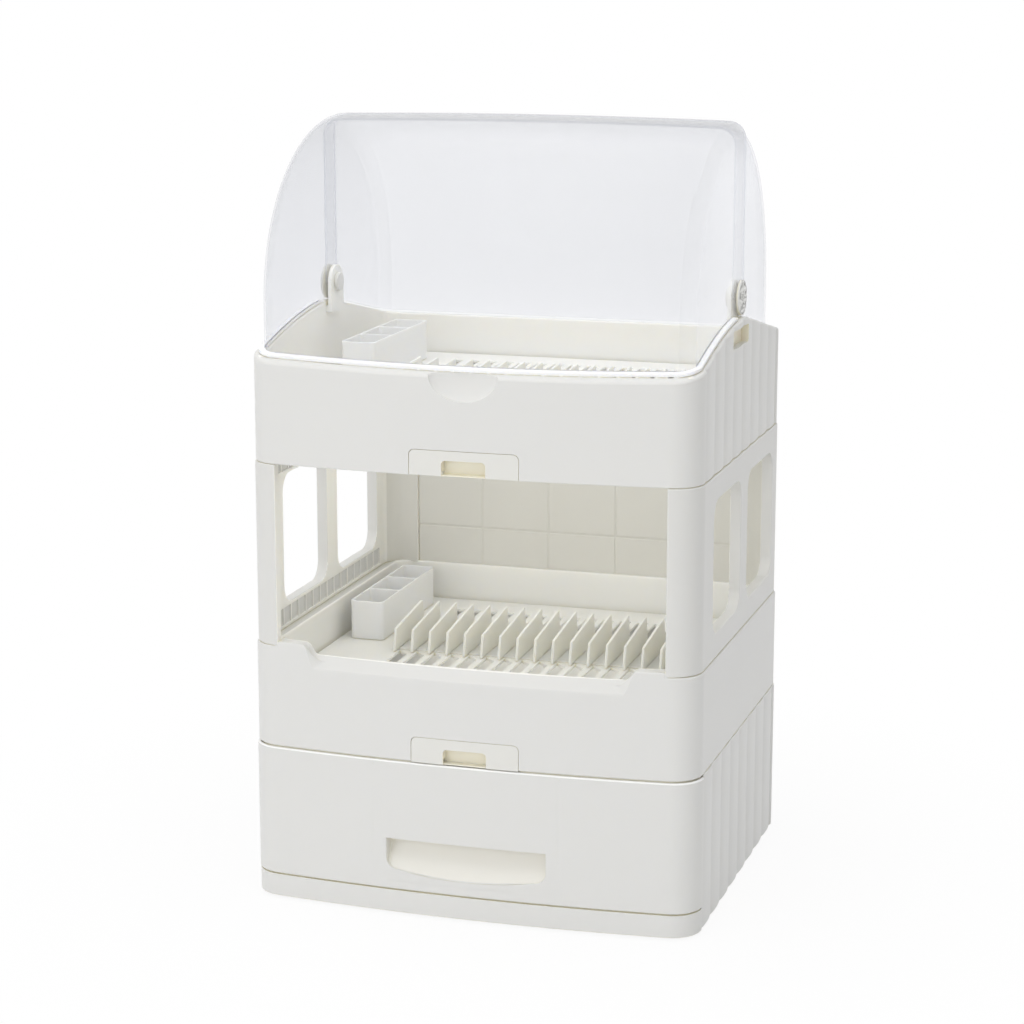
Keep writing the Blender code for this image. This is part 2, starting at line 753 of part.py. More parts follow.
def build_drawer_bin():
    """Open bin on the runners, its front wall behind the handle recess."""
    bottom = DRAWER_BOTTOM + RUNNER_HEIGHT + SEAT_GAP
    top = LOWER_TRAY_BOTTOM - BIN_TOP_CLEARANCE
    half = BASE_WIDTH / 2 - OUTER_WALL - BIN_SIDE_CLEARANCE
    front = FRONT_Y + HANDLE_DEPTH + HANDLE_POCKET_WALL + SEAT_GAP
    back = REAR_Y - OUTER_WALL - BIN_REAR_CLEARANCE
    radius = BIN_CORNER_RADIUS
    outer = rounded_rectangle(-half, half, front, back, radius, BIN_CORNER_STEPS)
    inner = rounded_rectangle(
        -half + BIN_WALL,
        half - BIN_WALL,
        front + BIN_WALL,
        back - BIN_WALL,
        radius - BIN_WALL,
        BIN_CORNER_STEPS,
    )
    drawer_bin = slab("drawer_bin", outer, bottom, top)
    cut(drawer_bin, slab("bin_inside", inner, bottom + BIN_WALL, top + OVERRUN))
    return finish_part(drawer_bin, "cream")


def drip_opening(name, tray_bottom, skirt_back):
    """The opening for the drip tray's tab in a tray's front skirt."""
    half = TAB_WIDTH / 2 + TAB_GAP
    profile = rounded_rectangle(
        -half,
        half,
        tray_bottom - OVERRUN,
        tray_bottom + TAB_HEIGHT + TAB_GAP,
        TAB_CORNER_RADIUS,
        TAB_CORNER_STEPS,
    )
    return front_prism(name, profile, FRONT_Y - OVERRUN, skirt_back)


def drip_body_half():
    """Half the width of a drip tray's body."""
    return TAB_WIDTH / 2 - DRIP_SIDE_CLEARANCE


def add_drip_rails(tray, prefix, tray_bottom):
    """Two L-shaped rails under a tray's floor, that carry its drip tray."""
    web_inner = drip_body_half() + DRIP_SIDE_CLEARANCE
    web_outer = web_inner + DRIP_RUNNER_THICKNESS
    foot_top = tray_bottom + DRIP_LIFT
    foot_bottom = foot_top - DRIP_RUNNER_FOOT_THICKNESS
    ceiling = tray_bottom + DRIP_ROOM + OVERLAP
    front = FRONT_Y + DOUBLE_WALL
    back = front + DRIP_LENGTH
    profile = (
        (web_inner - DRIP_RUNNER_FOOT, foot_bottom),
        (web_outer, foot_bottom),
        (web_outer, ceiling),
        (web_inner, ceiling),
        (web_inner, foot_top),
        (web_inner - DRIP_RUNNER_FOOT, foot_top),
    )
    for side, sign in (("right", 1), ("left", -1)):
        points = [(sign * x, z) for x, z in profile]
        if sign < 0:
            points.reverse()
        join(tray, front_prism(prefix + "_rail_" + side, points, front, back))


def add_drain(tray, prefix, tray_bottom):
    """The drain hole above the drip tray."""
    outline = rounded_rectangle(
        -DRAIN_HALF_WIDTH,
        DRAIN_HALF_WIDTH,
        DRAIN_FRONT,
        DRAIN_FRONT + DRAIN_LENGTH,
        DRAIN_CORNER_RADIUS,
        DRAIN_CORNER_STEPS,
    )
    floor_underside = tray_bottom + DRIP_ROOM
    drain = slab(
        prefix + "_drain",
        outline,
        floor_underside - OVERLAP,
        floor_underside + BASIN_FLOOR_THICKNESS + OVERLAP,
    )
    cut(tray, drain)


def sill_profile(top):
    """Front view of the sill's cut: a level sill between two S-shaped shoulders."""
    sill = FLANGE_TOP - SILL_DROP - SILL_SLOPE_HEIGHT
    rise = FLANGE_TOP + FRONT_WALL_RISE - sill
    right_half = []
    for step in range(SILL_SHOULDER_STEPS):
        right_half.append((SILL_HALF_WIDTH * step / SILL_SHOULDER_STEPS, sill))
    for step in range(SILL_SHOULDER_STEPS + 1):
        share = step / SILL_SHOULDER_STEPS
        lift = rise * (share - math.sin(2 * math.pi * share) / (2 * math.pi))
        right_half.append((SILL_HALF_WIDTH + SILL_SHOULDER * share, sill + lift))
    right_half.append((SILL_HALF_WIDTH + SILL_SHOULDER, top))
    return right_half + [(-x, z) for x, z in reversed(right_half) if x > 0]


def sill_cut():
    """The sill's cutter, sloping up into the tray and following the bow."""
    front = FRONT_Y - OVERRUN
    back = FRONT_Y + DOUBLE_WALL + FRONT_BOW
    cutter = front_prism("sill_cut", sill_profile(FLANGE_TOP + 2 * OVERRUN), front, back)
    slope = SILL_SLOPE_HEIGHT / SILL_SLOPE_WIDTH
    for vertex in cutter.data.vertices:
        inward = vertex.co.y - FRONT_Y - bow(vertex.co.x, LOWER_TRAY_WIDTH)
        vertex.co.z += slope * inward
    return cutter


def build_lower_tray():
    """Plain tray with a sill between two shoulders, a deep basin and the drip opening."""
    bottom = LOWER_TRAY_BOTTOM + SEAT_GAP
    wall_top = FLANGE_TOP + FRONT_WALL_RISE
    half = LOWER_TRAY_WIDTH / 2
    pillar_x = FRAME_WIDTH / 2 - PILLAR_WIDTH - PANEL_GAP
    tray = slab("lower_tray", plan_outline(LOWER_TRAY_WIDTH), bottom, wall_top)
    round_edges(tray, EDGE_ROUND)
    wall_back = FRONT_Y + DOUBLE_WALL + FRONT_BOW
    side = half + OVERRUN
    front = FRONT_Y - OVERRUN
    step_outline = (
        (-side, front),
        (-pillar_x, front),
        (-pillar_x, wall_back),
        (pillar_x, wall_back),
        (pillar_x, front),
        (side, front),
        (side, REAR_Y + OVERRUN),
        (-side, REAR_Y + OVERRUN),
    )
    cut(tray, slab("flange_step", step_outline, FLANGE_TOP, wall_top + OVERRUN))
    hollow_outline = plan_outline(LOWER_TRAY_WIDTH, OUTER_WALL)
    hollow = slab("lower_hollow", hollow_outline, bottom - OVERRUN, FLANGE_TOP - FLANGE_THICKNESS)
    sill_block = box(
        "sill_block",
        (-SILL_HALF_WIDTH - 2 * SILL_SHOULDER, front, FLANGE_TOP - SILL_BLOCK_HEIGHT),
        (SILL_HALF_WIDTH + 2 * SILL_SHOULDER, wall_back, FLANGE_TOP),
    )
    cut(hollow, sill_block)
    cut(tray, hollow)
    basin_outline = plan_outline(LOWER_BASIN_WIDTH, DOUBLE_WALL - BASIN_WALL)
    basin = slab(
        "lower_basin",
        basin_outline,
        LOWER_TRAY_BOTTOM + DRIP_ROOM,
        FLANGE_TOP - FLANGE_THICKNESS + OVERLAP,
    )
    join(tray, basin)
    cavity_outline = plan_outline(LOWER_BASIN_WIDTH, DOUBLE_WALL)
    cut(tray, slab("lower_cavity", cavity_outline, LOWER_BASIN_FLOOR, wall_top + OVERRUN))
    cut(tray, sill_cut())
    skirt_back = FRONT_Y + OUTER_WALL + 2 * OVERLAP
    cut(tray, drip_opening("lower_drip_opening", LOWER_TRAY_BOTTOM, skirt_back))
    add_drip_rails(tray, "lower", LOWER_TRAY_BOTTOM)
    add_drain(tray, "lower", LOWER_TRAY_BOTTOM)
    return finish_part(tray, "ivory")


def build_drip_tray(name, width, tray_bottom):
    """Pull-out drip tray: a tab with a finger notch and an open body behind it."""
    tab_bottom = tray_bottom + PANEL_GAP
    tab_top = tray_bottom + TAB_HEIGHT
    notch_back = FRONT_Y + NOTCH_DEPTH
    body_half = drip_body_half()
    body_bottom = tray_bottom + DRIP_LIFT + SEAT_GAP
    half = TAB_WIDTH / 2
    arc = [half * (2 * step / BOW_STEPS - 1) for step in range(BOW_STEPS + 1)]
    tab_plan = [(x, FRONT_Y + bow(x, width)) for x in arc]
    tab_plan += [(half, FRONT_Y + TAB_THICKNESS), (-half, FRONT_Y + TAB_THICKNESS)]
    tab = slab(name, tab_plan, tab_bottom, tab_top)
    face = rounded_rectangle(
        -half,
        half,
        tab_bottom - OVERRUN,
        tab_top,
        TAB_CORNER_RADIUS,
        TAB_CORNER_STEPS,
    )
    keep(tab, front_prism(name + "_face", face, FRONT_Y - OVERRUN, FRONT_Y + OVERRUN))
    body = box(
        name + "_body",
        (-body_half, FRONT_Y + TAB_THICKNESS - OVERLAP, body_bottom),
        (body_half, FRONT_Y + DRIP_LENGTH, tab_top),
    )
    join(tab, body)
    notch_half = NOTCH_WIDTH / 2
    notch_wall = box(
        name + "_notch_wall",
        (-notch_half - DRIP_WALL, notch_back, tab_bottom),
        (notch_half + DRIP_WALL, notch_back + DRIP_WALL, body_bottom + OVERLAP),
    )
    join(tab, notch_wall)
    wing = FRONT_Y + TAB_THICKNESS + DRIP_WALL
    inner_half = body_half - DRIP_WALL
    hollow_plan = (
        (-inner_half, wing),
        (-notch_half - DRIP_WALL, wing),
        (-notch_half - DRIP_WALL, notch_back + DRIP_WALL),
        (notch_half + DRIP_WALL, notch_back + DRIP_WALL),
        (notch_half + DRIP_WALL, wing),
        (inner_half, wing),
        (inner_half, FRONT_Y + DRIP_LENGTH - DRIP_WALL),
        (-inner_half, FRONT_Y + DRIP_LENGTH - DRIP_WALL),
    )
    cut(tab, slab(name + "_inside", hollow_plan, body_bottom + DRIP_WALL, tab_top + OVERRUN))
    notch = rounded_rectangle(
        -notch_half,
        notch_half,
        tab_bottom - OVERRUN,
        tab_bottom + NOTCH_HEIGHT,
        NOTCH_CORNER_RADIUS,
        TAB_CORNER_STEPS,
    )
    cut(tab, front_prism(name + "_notch", notch, FRONT_Y - OVERRUN, notch_back))
    return finish_part(tab, "ivory")


def fin_profile(height, foot):
    """Side view of a fin: leaning front edge, straight top up to the tip, steep rear edge."""
    return (
        (FIN_FRONT_Y, foot),
        (FIN_REAR_Y, foot),
        (FIN_REAR_Y - FIN_PEAK_SETBACK, foot + height),
        (FIN_FRONT_Y + FIN_LEAN, foot + height * FIN_FRONT_SHARE),
    )


def build_fin_comb(name, plate_top, fin_height):
    """A row of fins on a thin base that sits in the dish rack's recess."""
    foot = plate_top + SEAT_GAP
    comb = box(
        name,
        (FIRST_FIN_X - COMB_BASE_END, FIN_FRONT_Y + COMB_BASE_SETBACK, foot + OVERLAP - COMB_BASE_THICKNESS),
        (LAST_FIN_X + COMB_BASE_END, FIN_REAR_Y - COMB_BASE_SETBACK, foot + OVERLAP),
    )
    fin_left = FIRST_FIN_X - FIN_THICKNESS / 2
    profile = fin_profile(fin_height, foot)
    fins = side_prism(name + "_fins", profile, fin_left, fin_left + FIN_THICKNESS)
    repeat(fins, FIN_COUNT, (FIN_PITCH, 0, 0))
    join(comb, fins)
    return finish_part(comb, "cream")


def cut_rack_slots(rack, bottom, top):
    """Two rows of slots, whose slanted ends lie at the feet of the fins."""
    left = FIRST_FIN_X + FIN_PITCH / 2 - RACK_SLOT_WIDTH / 2
    right = left + RACK_SLOT_WIDTH
    front_end = FIN_FRONT_Y + RACK_SLOT_REACH
    rear_end = FIN_REAR_Y - RACK_SLOT_REACH
    rows = {
        "front": (
            (left, RACK_SLOT_FRONT),
            (right, RACK_SLOT_FRONT),
            (right, front_end - RACK_SLOT_SLANT),
            (left, front_end),
        ),
        "rear": (
            (left, rear_end),
            (right, rear_end + RACK_SLOT_SLANT),
            (right, RACK_SLOT_REAR),
            (left, RACK_SLOT_REAR),
        ),
    }
    for row, outline in rows.items():
        slots = slab(f"{rack.name}_{row}_slots", outline, bottom - OVERRUN, top + OVERRUN)
        repeat(slots, FIN_COUNT - 1, (FIN_PITCH, 0, 0))
        cut(rack, slots)


def build_dish_rack(name, width, floor_top, plate_top):
    """Slotted plate on short legs, with a shallow recess for the fin comb's base."""
    bottom = plate_top - RACK_PLATE_THICKNESS
    inset = DOUBLE_WALL + RACK_CLEARANCE
    rack = slab(name, plan_outline(width, inset), bottom, plate_top)
    cut_rack_slots(rack, bottom, plate_top)
    recess_end = COMB_BASE_END + COMB_CLEARANCE
    recess_setback = COMB_BASE_SETBACK - COMB_CLEARANCE
    recess = box(
        name + "_recess",
        (FIRST_FIN_X - recess_end, FIN_FRONT_Y + recess_setback, plate_top + OVERLAP - COMB_BASE_THICKNESS),
        (LAST_FIN_X + recess_end, FIN_REAR_Y - recess_setback, plate_top + OVERRUN),
    )
    cut(rack, recess)
    leg_x = width / 2 - inset - RACK_LEG_INSET
    leg_front = FRONT_Y + inset + FRONT_BOW + RACK_LEG_INSET
    leg_back = REAR_Y - inset - RACK_LEG_INSET
    legs = box(
        name + "_legs",
        (-leg_x, leg_front, floor_top + SEAT_GAP),
        (-leg_x + RACK_LEG_WIDTH, leg_front + RACK_LEG_WIDTH, bottom + OVERLAP),
    )
    repeat(legs, 2, (2 * leg_x - RACK_LEG_WIDTH, 0, 0))
    depth_pair = legs.modifiers.new("pair", "ARRAY")
    depth_pair.use_relative_offset = False
    depth_pair.use_constant_offset = True
    depth_pair.constant_offset_displace = (0, leg_back - leg_front - RACK_LEG_WIDTH, 0)
    join(rack, legs)
    return finish_part(rack, "cream")


def build_cutlery_caddy(name, front, plate_top):
    """Narrow box with three compartments, standing on the rack's plate."""
    bottom = plate_top + SEAT_GAP
    top = bottom + CADDY_HEIGHT
    outer = rounded_rectangle(
        CADDY_LEFT_X,
        CADDY_LEFT_X + CADDY_WIDTH,
        front,
        front + CADDY_LENGTH,
        CADDY_CORNER_RADIUS,
        CADDY_CORNER_STEPS,
    )
    caddy = slab(name, outer, bottom, top)
    bay_length = (CADDY_LENGTH - CADDY_WALL * (CADDY_BAYS + 1)) / CADDY_BAYS
    bay_outline = rounded_rectangle(
        CADDY_LEFT_X + CADDY_WALL,
        CADDY_LEFT_X + CADDY_WIDTH - CADDY_WALL,
        front + CADDY_WALL,
        front + CADDY_WALL + bay_length,
        CADDY_CORNER_RADIUS - CADDY_WALL,
        CADDY_CORNER_STEPS,
    )
    bays = slab(name + "_bays", bay_outline, bottom + CADDY_WALL, top + OVERRUN)
    repeat(bays, CADDY_BAYS, (0, bay_length + CADDY_WALL, 0))
    cut(caddy, bays)
    return finish_part(caddy, "cream")


def add_panel_pockets(panel, side, inner_x, bottom, top):
    """Rows of pockets between ribs, inside the panel, below and above the windows."""
    near, deep = sorted((side * (inner_x - OVERRUN), side * (inner_x + POCKET_DEPTH)))
    window_gap = (top - bottom - WINDOW_HEIGHT) / 2
    margin = (window_gap - POCKET_HEIGHT) / 2
    for row, low in (("lower", bottom + margin), ("upper", top - margin - POCKET_HEIGHT)):
        pockets = box(
            panel.name + "_" + row + "_pockets",
            (near, POCKET_FRONT_Y, low),
            (deep, POCKET_FRONT_Y + POCKET_LENGTH, low + POCKET_HEIGHT),
        )
        repeat(pockets, POCKET_COUNT, (0, POCKET_PITCH, 0))
        cut(panel, pockets)


def build_side_panel(name, side):
    """Thick side panel with two rounded windows, a front pillar and a rear return."""
    bottom = FLANGE_TOP + SEAT_GAP
    top = UPPER_TRAY_BOTTOM - SEAT_GAP
    half = FRAME_WIDTH / 2
    panel = slab(name, plan_outline(FRAME_WIDTH), bottom, top)
    round_edges(panel, EDGE_ROUND)
    inner = plan_outline(FRAME_WIDTH, DOUBLE_WALL)
    cut(panel, slab(name + "_inside", inner, bottom - OVERRUN, top + OVERRUN))
    pillar_x = half - PILLAR_WIDTH
    return_x = half - REAR_RETURN_WIDTH
    far = half + OVERRUN
    front = FRONT_Y - OVERRUN
    back = REAR_Y + OVERRUN
    opening = (
        (-far, front),
        (pillar_x, front),
        (pillar_x, 0),
        (return_x, 0),
        (return_x, back),
        (-far, back),
    )
    removed = [(side * x, y) for x, y in opening]
    if side < 0:
        removed.reverse()
    cut(panel, slab(name + "_opening", removed, bottom - OVERRUN, top + OVERRUN))
    middle = (bottom + top) / 2
    window = rounded_rectangle(
        WINDOW_FRONT_Y,
        WINDOW_FRONT_Y + WINDOW_LENGTH,
        middle - WINDOW_HEIGHT / 2,
        middle + WINDOW_HEIGHT / 2,
        WINDOW_CORNER_RADIUS,
        WINDOW_CORNER_STEPS,
    )
    near, outer = sorted((side * (half - DOUBLE_WALL - OVERRUN), side * far))
    windows = side_prism(name + "_windows", window, near, outer)
    repeat(windows, WINDOW_COUNT, (0, WINDOW_PITCH, 0))
    cut(panel, windows)
    add_panel_pockets(panel, side, half - DOUBLE_WALL, bottom, top)
    return finish_part(panel, "ivory")


def build_back_panel():
    """Back panel between the side panels, with shallow grooves on its inner face."""
    bottom = FLANGE_TOP + SEAT_GAP
    top = UPPER_TRAY_BOTTOM - SEAT_GAP
    half = FRAME_WIDTH / 2 - REAR_RETURN_WIDTH - PANEL_GAP
    back = REAR_Y - BACK_PANEL_SETBACK
    front = back - BACK_PANEL_THICKNESS
    panel = box("back_panel", (-half, front, bottom), (half, back, top))
    groove_back = front + BACK_GROOVE_DEPTH
    half_groove = BACK_GROOVE_WIDTH / 2
    first = -BACK_GROOVE_PITCH * (BACK_GROOVE_COUNT - 1) / 2
    uprights = box(
        "back_upright_grooves",
        (first - half_groove, front - OVERRUN, bottom - OVERRUN),
        (first + half_groove, groove_back, top + OVERRUN),
    )
    repeat(uprights, BACK_GROOVE_COUNT, (BACK_GROOVE_PITCH, 0, 0))
    cut(panel, uprights)
    level = bottom + BACK_GROOVE_LEVEL
    across = box(
        "back_level_groove",
        (-half - OVERRUN, front - OVERRUN, level - half_groove),
        (half + OVERRUN, groove_back, level + half_groove),
    )
    cut(panel, across)
    return finish_part(panel, "cream")


def add_hinge_ears(tray):
    """Moulded ears that carry the hinge pins on the tray's inner walls."""
    ear_outer = EAR_INNER_X + EAR_THICKNESS
    wall_x = UPPER_TRAY_WIDTH / 2 - DOUBLE_WALL + OVERLAP
    root_top = rim_height(HINGE_Y + EAR_RADIUS) - OVERLAP
    root_bottom = root_top - EAR_ROOT
    root_half = EAR_RADIUS - OVERLAP
    profile = []
    for step in range(EAR_STEPS // 2 + 1):
        angle = 2 * math.pi * step / EAR_STEPS
        profile.append((HINGE_Y + EAR_RADIUS * math.cos(angle), HINGE_Z + EAR_RADIUS * math.sin(angle)))
    profile += [(HINGE_Y - EAR_RADIUS, root_bottom), (HINGE_Y + EAR_RADIUS, root_bottom)]
    for name, side in (("right", 1), ("left", -1)):
        inner, outer = sorted((side * EAR_INNER_X, side * ear_outer))
        ear = side_prism(name + "_ear", profile, inner, outer)
        near, far = sorted((side * (EAR_INNER_X + OVERLAP), side * wall_x))
        root = box(
            name + "_ear_root",
            (near, HINGE_Y - root_half, root_bottom + OVERLAP),
            (far, HINGE_Y + root_half, root_top),
        )
        join(ear, root)
        join(tray, ear)
        bore_low, bore_high = sorted((side * (EAR_INNER_X - OVERLAP), side * (ear_outer + OVERLAP)))
        cut(tray, side_disc(name + "_ear_bore", PIN_RADIUS + PIN_CLEARANCE, bore_low, bore_high, EAR_STEPS))


def scoop():
    """Ball-shaped finger scoop in the front rim."""
    shape = bmesh.new()
    bmesh.ops.create_uvsphere(shape, u_segments=SCOOP_SEGMENTS, v_segments=SCOOP_RINGS, radius=1.0)
    half_segment = Matrix.Rotation(math.pi / SCOOP_SEGMENTS, 4, "Z")
    lying = Matrix.Rotation(math.radians(90), 4, "Y") @ half_segment
    size = Matrix.Diagonal((SCOOP_HALF_WIDTH, SCOOP_DEPTH, SCOOP_HEIGHT, 1.0))
    place = Matrix.Translation((0, FRONT_Y, FRONT_RIM + 2 * OVERLAP))
    bmesh.ops.transform(shape, matrix=place @ size @ lying, verts=shape.verts)
    mesh_data = bpy.data.meshes.new("rim_scoop")
    shape.to_mesh(mesh_data)
    shape.free()
    return solid("rim_scoop", mesh_data)


def build_upper_tray():
    """Fluted tray whose rim rises to the hinges, with scoop, hand-holds and ears."""
    bottom = UPPER_TRAY_BOTTOM
    width = UPPER_TRAY_WIDTH
    half = width / 2
    top = RIM_PEAK + OVERRUN
    undercut_top = bottom + UPPER_UNDERCUT_HEIGHT
    tray = slab("upper_tray", plan_outline(width, fluted=True), bottom, top)
    round_edges(tray, EDGE_ROUND)
    hollow_outline = plan_outline(width, OUTER_WALL)
    cut(tray, slab("upper_hollow", hollow_outline, bottom - OVERRUN, undercut_top))
    basin_outline = plan_outline(width, DOUBLE_WALL - BASIN_WALL)
    join(tray, slab("upper_basin", basin_outline, bottom + DRIP_ROOM, undercut_top + OVERLAP))
    cavity_outline = plan_outline(width, DOUBLE_WALL)
    cut(tray, slab("upper_cavity", cavity_outline, UPPER_BASIN_FLOOR, top + OVERRUN))
    above_rim = rim_line(FRONT_Y - OVERRUN, REAR_Y + OVERRUN, 0.0)
    above_rim += [(REAR_Y + OVERRUN, top + OVERRUN), (FRONT_Y - OVERRUN, top + OVERRUN)]
    cut(tray, side_prism("above_rim", above_rim, -half - OVERRUN, half + OVERRUN))
    cut(tray, scoop())
    hold_top = RIM_PEAK - HAND_HOLD_DROP + HAND_HOLD_HEIGHT
    hold = rounded_rectangle(
        HAND_HOLD_FRONT_Y,
        HAND_HOLD_FRONT_Y + HAND_HOLD_LENGTH,
        hold_top - HAND_HOLD_HEIGHT,
        hold_top,
        HAND_HOLD_CORNER_RADIUS,
        HAND_HOLD_CORNER_STEPS,
    )
    for name, side in (("right_hand_hold", 1), ("left_hand_hold", -1)):
        near, far = sorted((side * (half - HAND_HOLD_DEPTH), side * (half + OVERRUN)))
        cut(tray, side_prism(name, hold, near, far))
    skirt_back = FRONT_Y + OUTER_WALL + 2 * OVERLAP
    cut(tray, drip_opening("upper_drip_opening", bottom, skirt_back))
    add_drip_rails(tray, "upper", bottom)
    add_drain(tray, "upper", bottom)
    add_hinge_ears(tray)
    return finish_part(tray, "ivory")


def hood_half_width(is_front):
    """Outer half width of a hood: the rear hood clears the ears, the front one clears the rear."""
    rear_half = EAR_INNER_X + EAR_THICKNESS + 2 * HOOD_SIDE_GAP + HOOD_WALL
    if is_front:
        return rear_half + PIN_CLEARANCE + HOOD_WALL
    return rear_half


def hood_rise(is_front):
    """Height of a hood's outer face above the hinge."""
    if is_front:
        return HOOD_RISE
    return HOOD_RISE - HOOD_WALL - HOOD_NEST_GAP - PANEL_GAP


def hood_columns(half, radius):
    """Stations across a hood: position, and how far the rounded edge draws the skin in."""
    columns = []
    for step in range(HOOD_EDGE_STEPS):
        angle = math.pi / 2 * (1 - step / HOOD_EDGE_STEPS)
        columns.append((-half + radius - radius * math.sin(angle), radius * (1 - math.cos(angle))))
    flat = half - radius
    for step in range(HOOD_COLUMNS + 1):
        columns.append((flat * (2 * step / HOOD_COLUMNS - 1), 0.0))
    mirrored = [(-x, drawn_in) for x, drawn_in in reversed(columns[:HOOD_EDGE_STEPS])]
    return columns + mirrored


def hood_ring(is_front, x, drawn_in, overlap, skirt):
    """Side profile of a hood at one column, about the hinge, from the seam edge to the skirt."""
    half = hood_half_width(is_front)
    share = (x / half) ** 2
    rise = hood_rise(is_front) - HOOD_CROWN * share - drawn_in
    reach = REAR_HOOD_REACH - drawn_in
    if is_front:
        reach = FRONT_HOOD_REACH + FRONT_BOW * (1 - share) - drawn_in
    seam_angle = math.asin(overlap / rise)
    ring = [(overlap, 0.0), (overlap, rise * math.cos(seam_angle))]
    for step in range(1, HOOD_ARC_STEPS + 1):
        angle = math.pi / 2 * step / HOOD_ARC_STEPS
        ring.append((-reach * math.sin(angle), rise * math.cos(angle)))
    ring.append((-reach, -skirt))
    ring.append((overlap, -skirt))
    return ring


def hood_block(name, is_front, wall, overlap, skirt):
    """A closed block with the hood's shape, drawn in by the wall."""
    half = hood_half_width(is_front)
    columns = hood_columns(half - wall, HOOD_EDGE_RADIUS - wall)
    direction = 1 if is_front else -1
    corners = []
    for x, drawn_in in columns:
        for along, up in hood_ring(is_front, x, drawn_in + wall, overlap, skirt):
            corners.append((x, HINGE_Y + direction * along, HINGE_Z + up))
    ring_size = len(corners) // len(columns)
    faces = [list(range(ring_size))]
    faces.append([len(corners) - 1 - index for index in range(ring_size)])
    for column in range(len(columns) - 1):
        for index in range(ring_size):
            after = (index + 1) % ring_size
            near = column * ring_size
            far = near + ring_size
            faces.append([near + index, far + index, far + after, near + after])
    mesh_data = bpy.data.meshes.new(name)
    mesh_data.from_pydata(corners, [], faces)
    shape = bmesh.new()
    shape.from_mesh(mesh_data)
    bmesh.ops.recalc_face_normals(shape, faces=shape.faces)
    shape.to_mesh(mesh_data)
    shape.free()
    return solid(name, mesh_data)


def below_hood(name, is_front):
    """Everything below a hood's lower edge: the raised rim line and the lug's arc."""
    direction = 1 if is_front else -1
    lowest = HINGE_Z - HOOD_SKIRT - OVERRUN
    end = FRONT_Y - 2 * OVERRUN if is_front else REAR_Y + 2 * OVERRUN
    if is_front:
        line = rim_line(end, HINGE_Y, HOOD_RIM_GAP)
    else:
        line = [(end, rim_height(end) + HOOD_RIM_GAP), (HINGE_Y, RIM_PEAK + HOOD_RIM_GAP)]
    for step in range(1, LUG_STEPS + 1):
        along = LUG_RADIUS * math.sin(math.pi / 2 * step / LUG_STEPS)
        down = math.sqrt(LUG_RADIUS**2 - along**2)
        line.append((HINGE_Y + direction * along, HINGE_Z - down))
    beyond = HINGE_Y + direction * (LUG_RADIUS + OVERRUN)
    line += [(beyond, HINGE_Z), (beyond, lowest), (end, lowest)]
    if is_front:
        line.reverse()
    half = hood_half_width(is_front) + OVERRUN
    return side_prism(name, line, -half, half)


def hood_lip():
    """Small outward lip along the front hood's lower edge."""
    flat = hood_half_width(True) - HOOD_EDGE_RADIUS
    front_line = []
    back_line = []
    for step in range(BOW_STEPS + 1):
        x = flat * (2 * step / BOW_STEPS - 1)
        share = (x / hood_half_width(True)) ** 2
        face = HINGE_Y - FRONT_HOOD_REACH - FRONT_BOW * (1 - share)
        front_line.append((x, face - HOOD_LIP))
        back_line.append((x, face + HOOD_WALL / 2))
    lip = slab("hood_lip", front_line + back_line[::-1], HOOD_RIM_GAP, HOOD_RIM_GAP + HOOD_WALL)
    for vertex in lip.data.vertices:
        vertex.co.z += rim_height(vertex.co.y)
    return lip


def build_hood(name, is_front):
    """A clear hood shell with side panels that end in round hinge lugs."""
    hood = hood_block(name, is_front, 0.0, LUG_RADIUS, HOOD_SKIRT)
    inside = hood_block(name + "_inside", is_front, HOOD_WALL, LUG_RADIUS + OVERRUN, HOOD_SKIRT + OVERRUN)
    cut(hood, inside)
    cut(hood, below_hood(name + "_below", is_front))
    if is_front:
        join(hood, hood_lip())
    half = hood_half_width(is_front) + OVERRUN
    bore = side_disc(name + "_bores", PIN_RADIUS + PIN_CLEARANCE, -half, half, EAR_STEPS)
    cut(hood, bore)
    return finish_part(hood, "clear", (0, HINGE_Y, HINGE_Z))


def build_hinge_knob(name, side):
    """Round knob outside the hood, with the pin that runs inwards to the cap."""
    face = hood_half_width(True) + SEAT_GAP
    outer = face + KNOB_THICKNESS
    pin_end = EAR_INNER_X - CAP_SOCKET_DEPTH
    profile = (
        (outer, 0.0),
        (outer - KNOB_CROWN / 4, KNOB_RADIUS / 2),
        (outer - KNOB_CROWN, KNOB_RADIUS - KNOB_CROWN),
        (outer - 2 * KNOB_CROWN, KNOB_RADIUS),
        (face, KNOB_RADIUS),
        (face, PIN_RADIUS),
        (pin_end, PIN_RADIUS),
        (pin_end, 0.0),
    )
    knob = turned(name, profile, KNOB_STEPS)
    place_on_hinge(knob, side)
    return finish_part(knob, "knob")


def build_hinge_cap(name, side):
    """Cap on the pin's inner end, inside the ear."""
    face = EAR_INNER_X - SEAT_GAP
    back = face - CAP_THICKNESS
    socket = face - CAP_SOCKET_DEPTH
    profile = (
        (socket, 0.0),
        (socket, PIN_RADIUS + PIN_CLEARANCE),
        (face, PIN_RADIUS + PIN_CLEARANCE),
        (face, CAP_RADIUS),
        (back + CAP_CROWN, CAP_RADIUS),
        (back, CAP_RADIUS - CAP_CROWN),
        (back, 0.0),
    )
    cap = turned(name, profile, KNOB_STEPS)
    place_on_hinge(cap, side)
    return finish_part(cap, "ivory")


def place_on_hinge(piece, side):
    """Turn a piece made along Z onto the hinge axis, right or left."""
    quarter_turn = Matrix.Rotation(math.radians(90 * side), 4, "Y")
    piece.matrix_world = Matrix.Translation((0, HINGE_Y, HINGE_Z)) @ quarter_turn


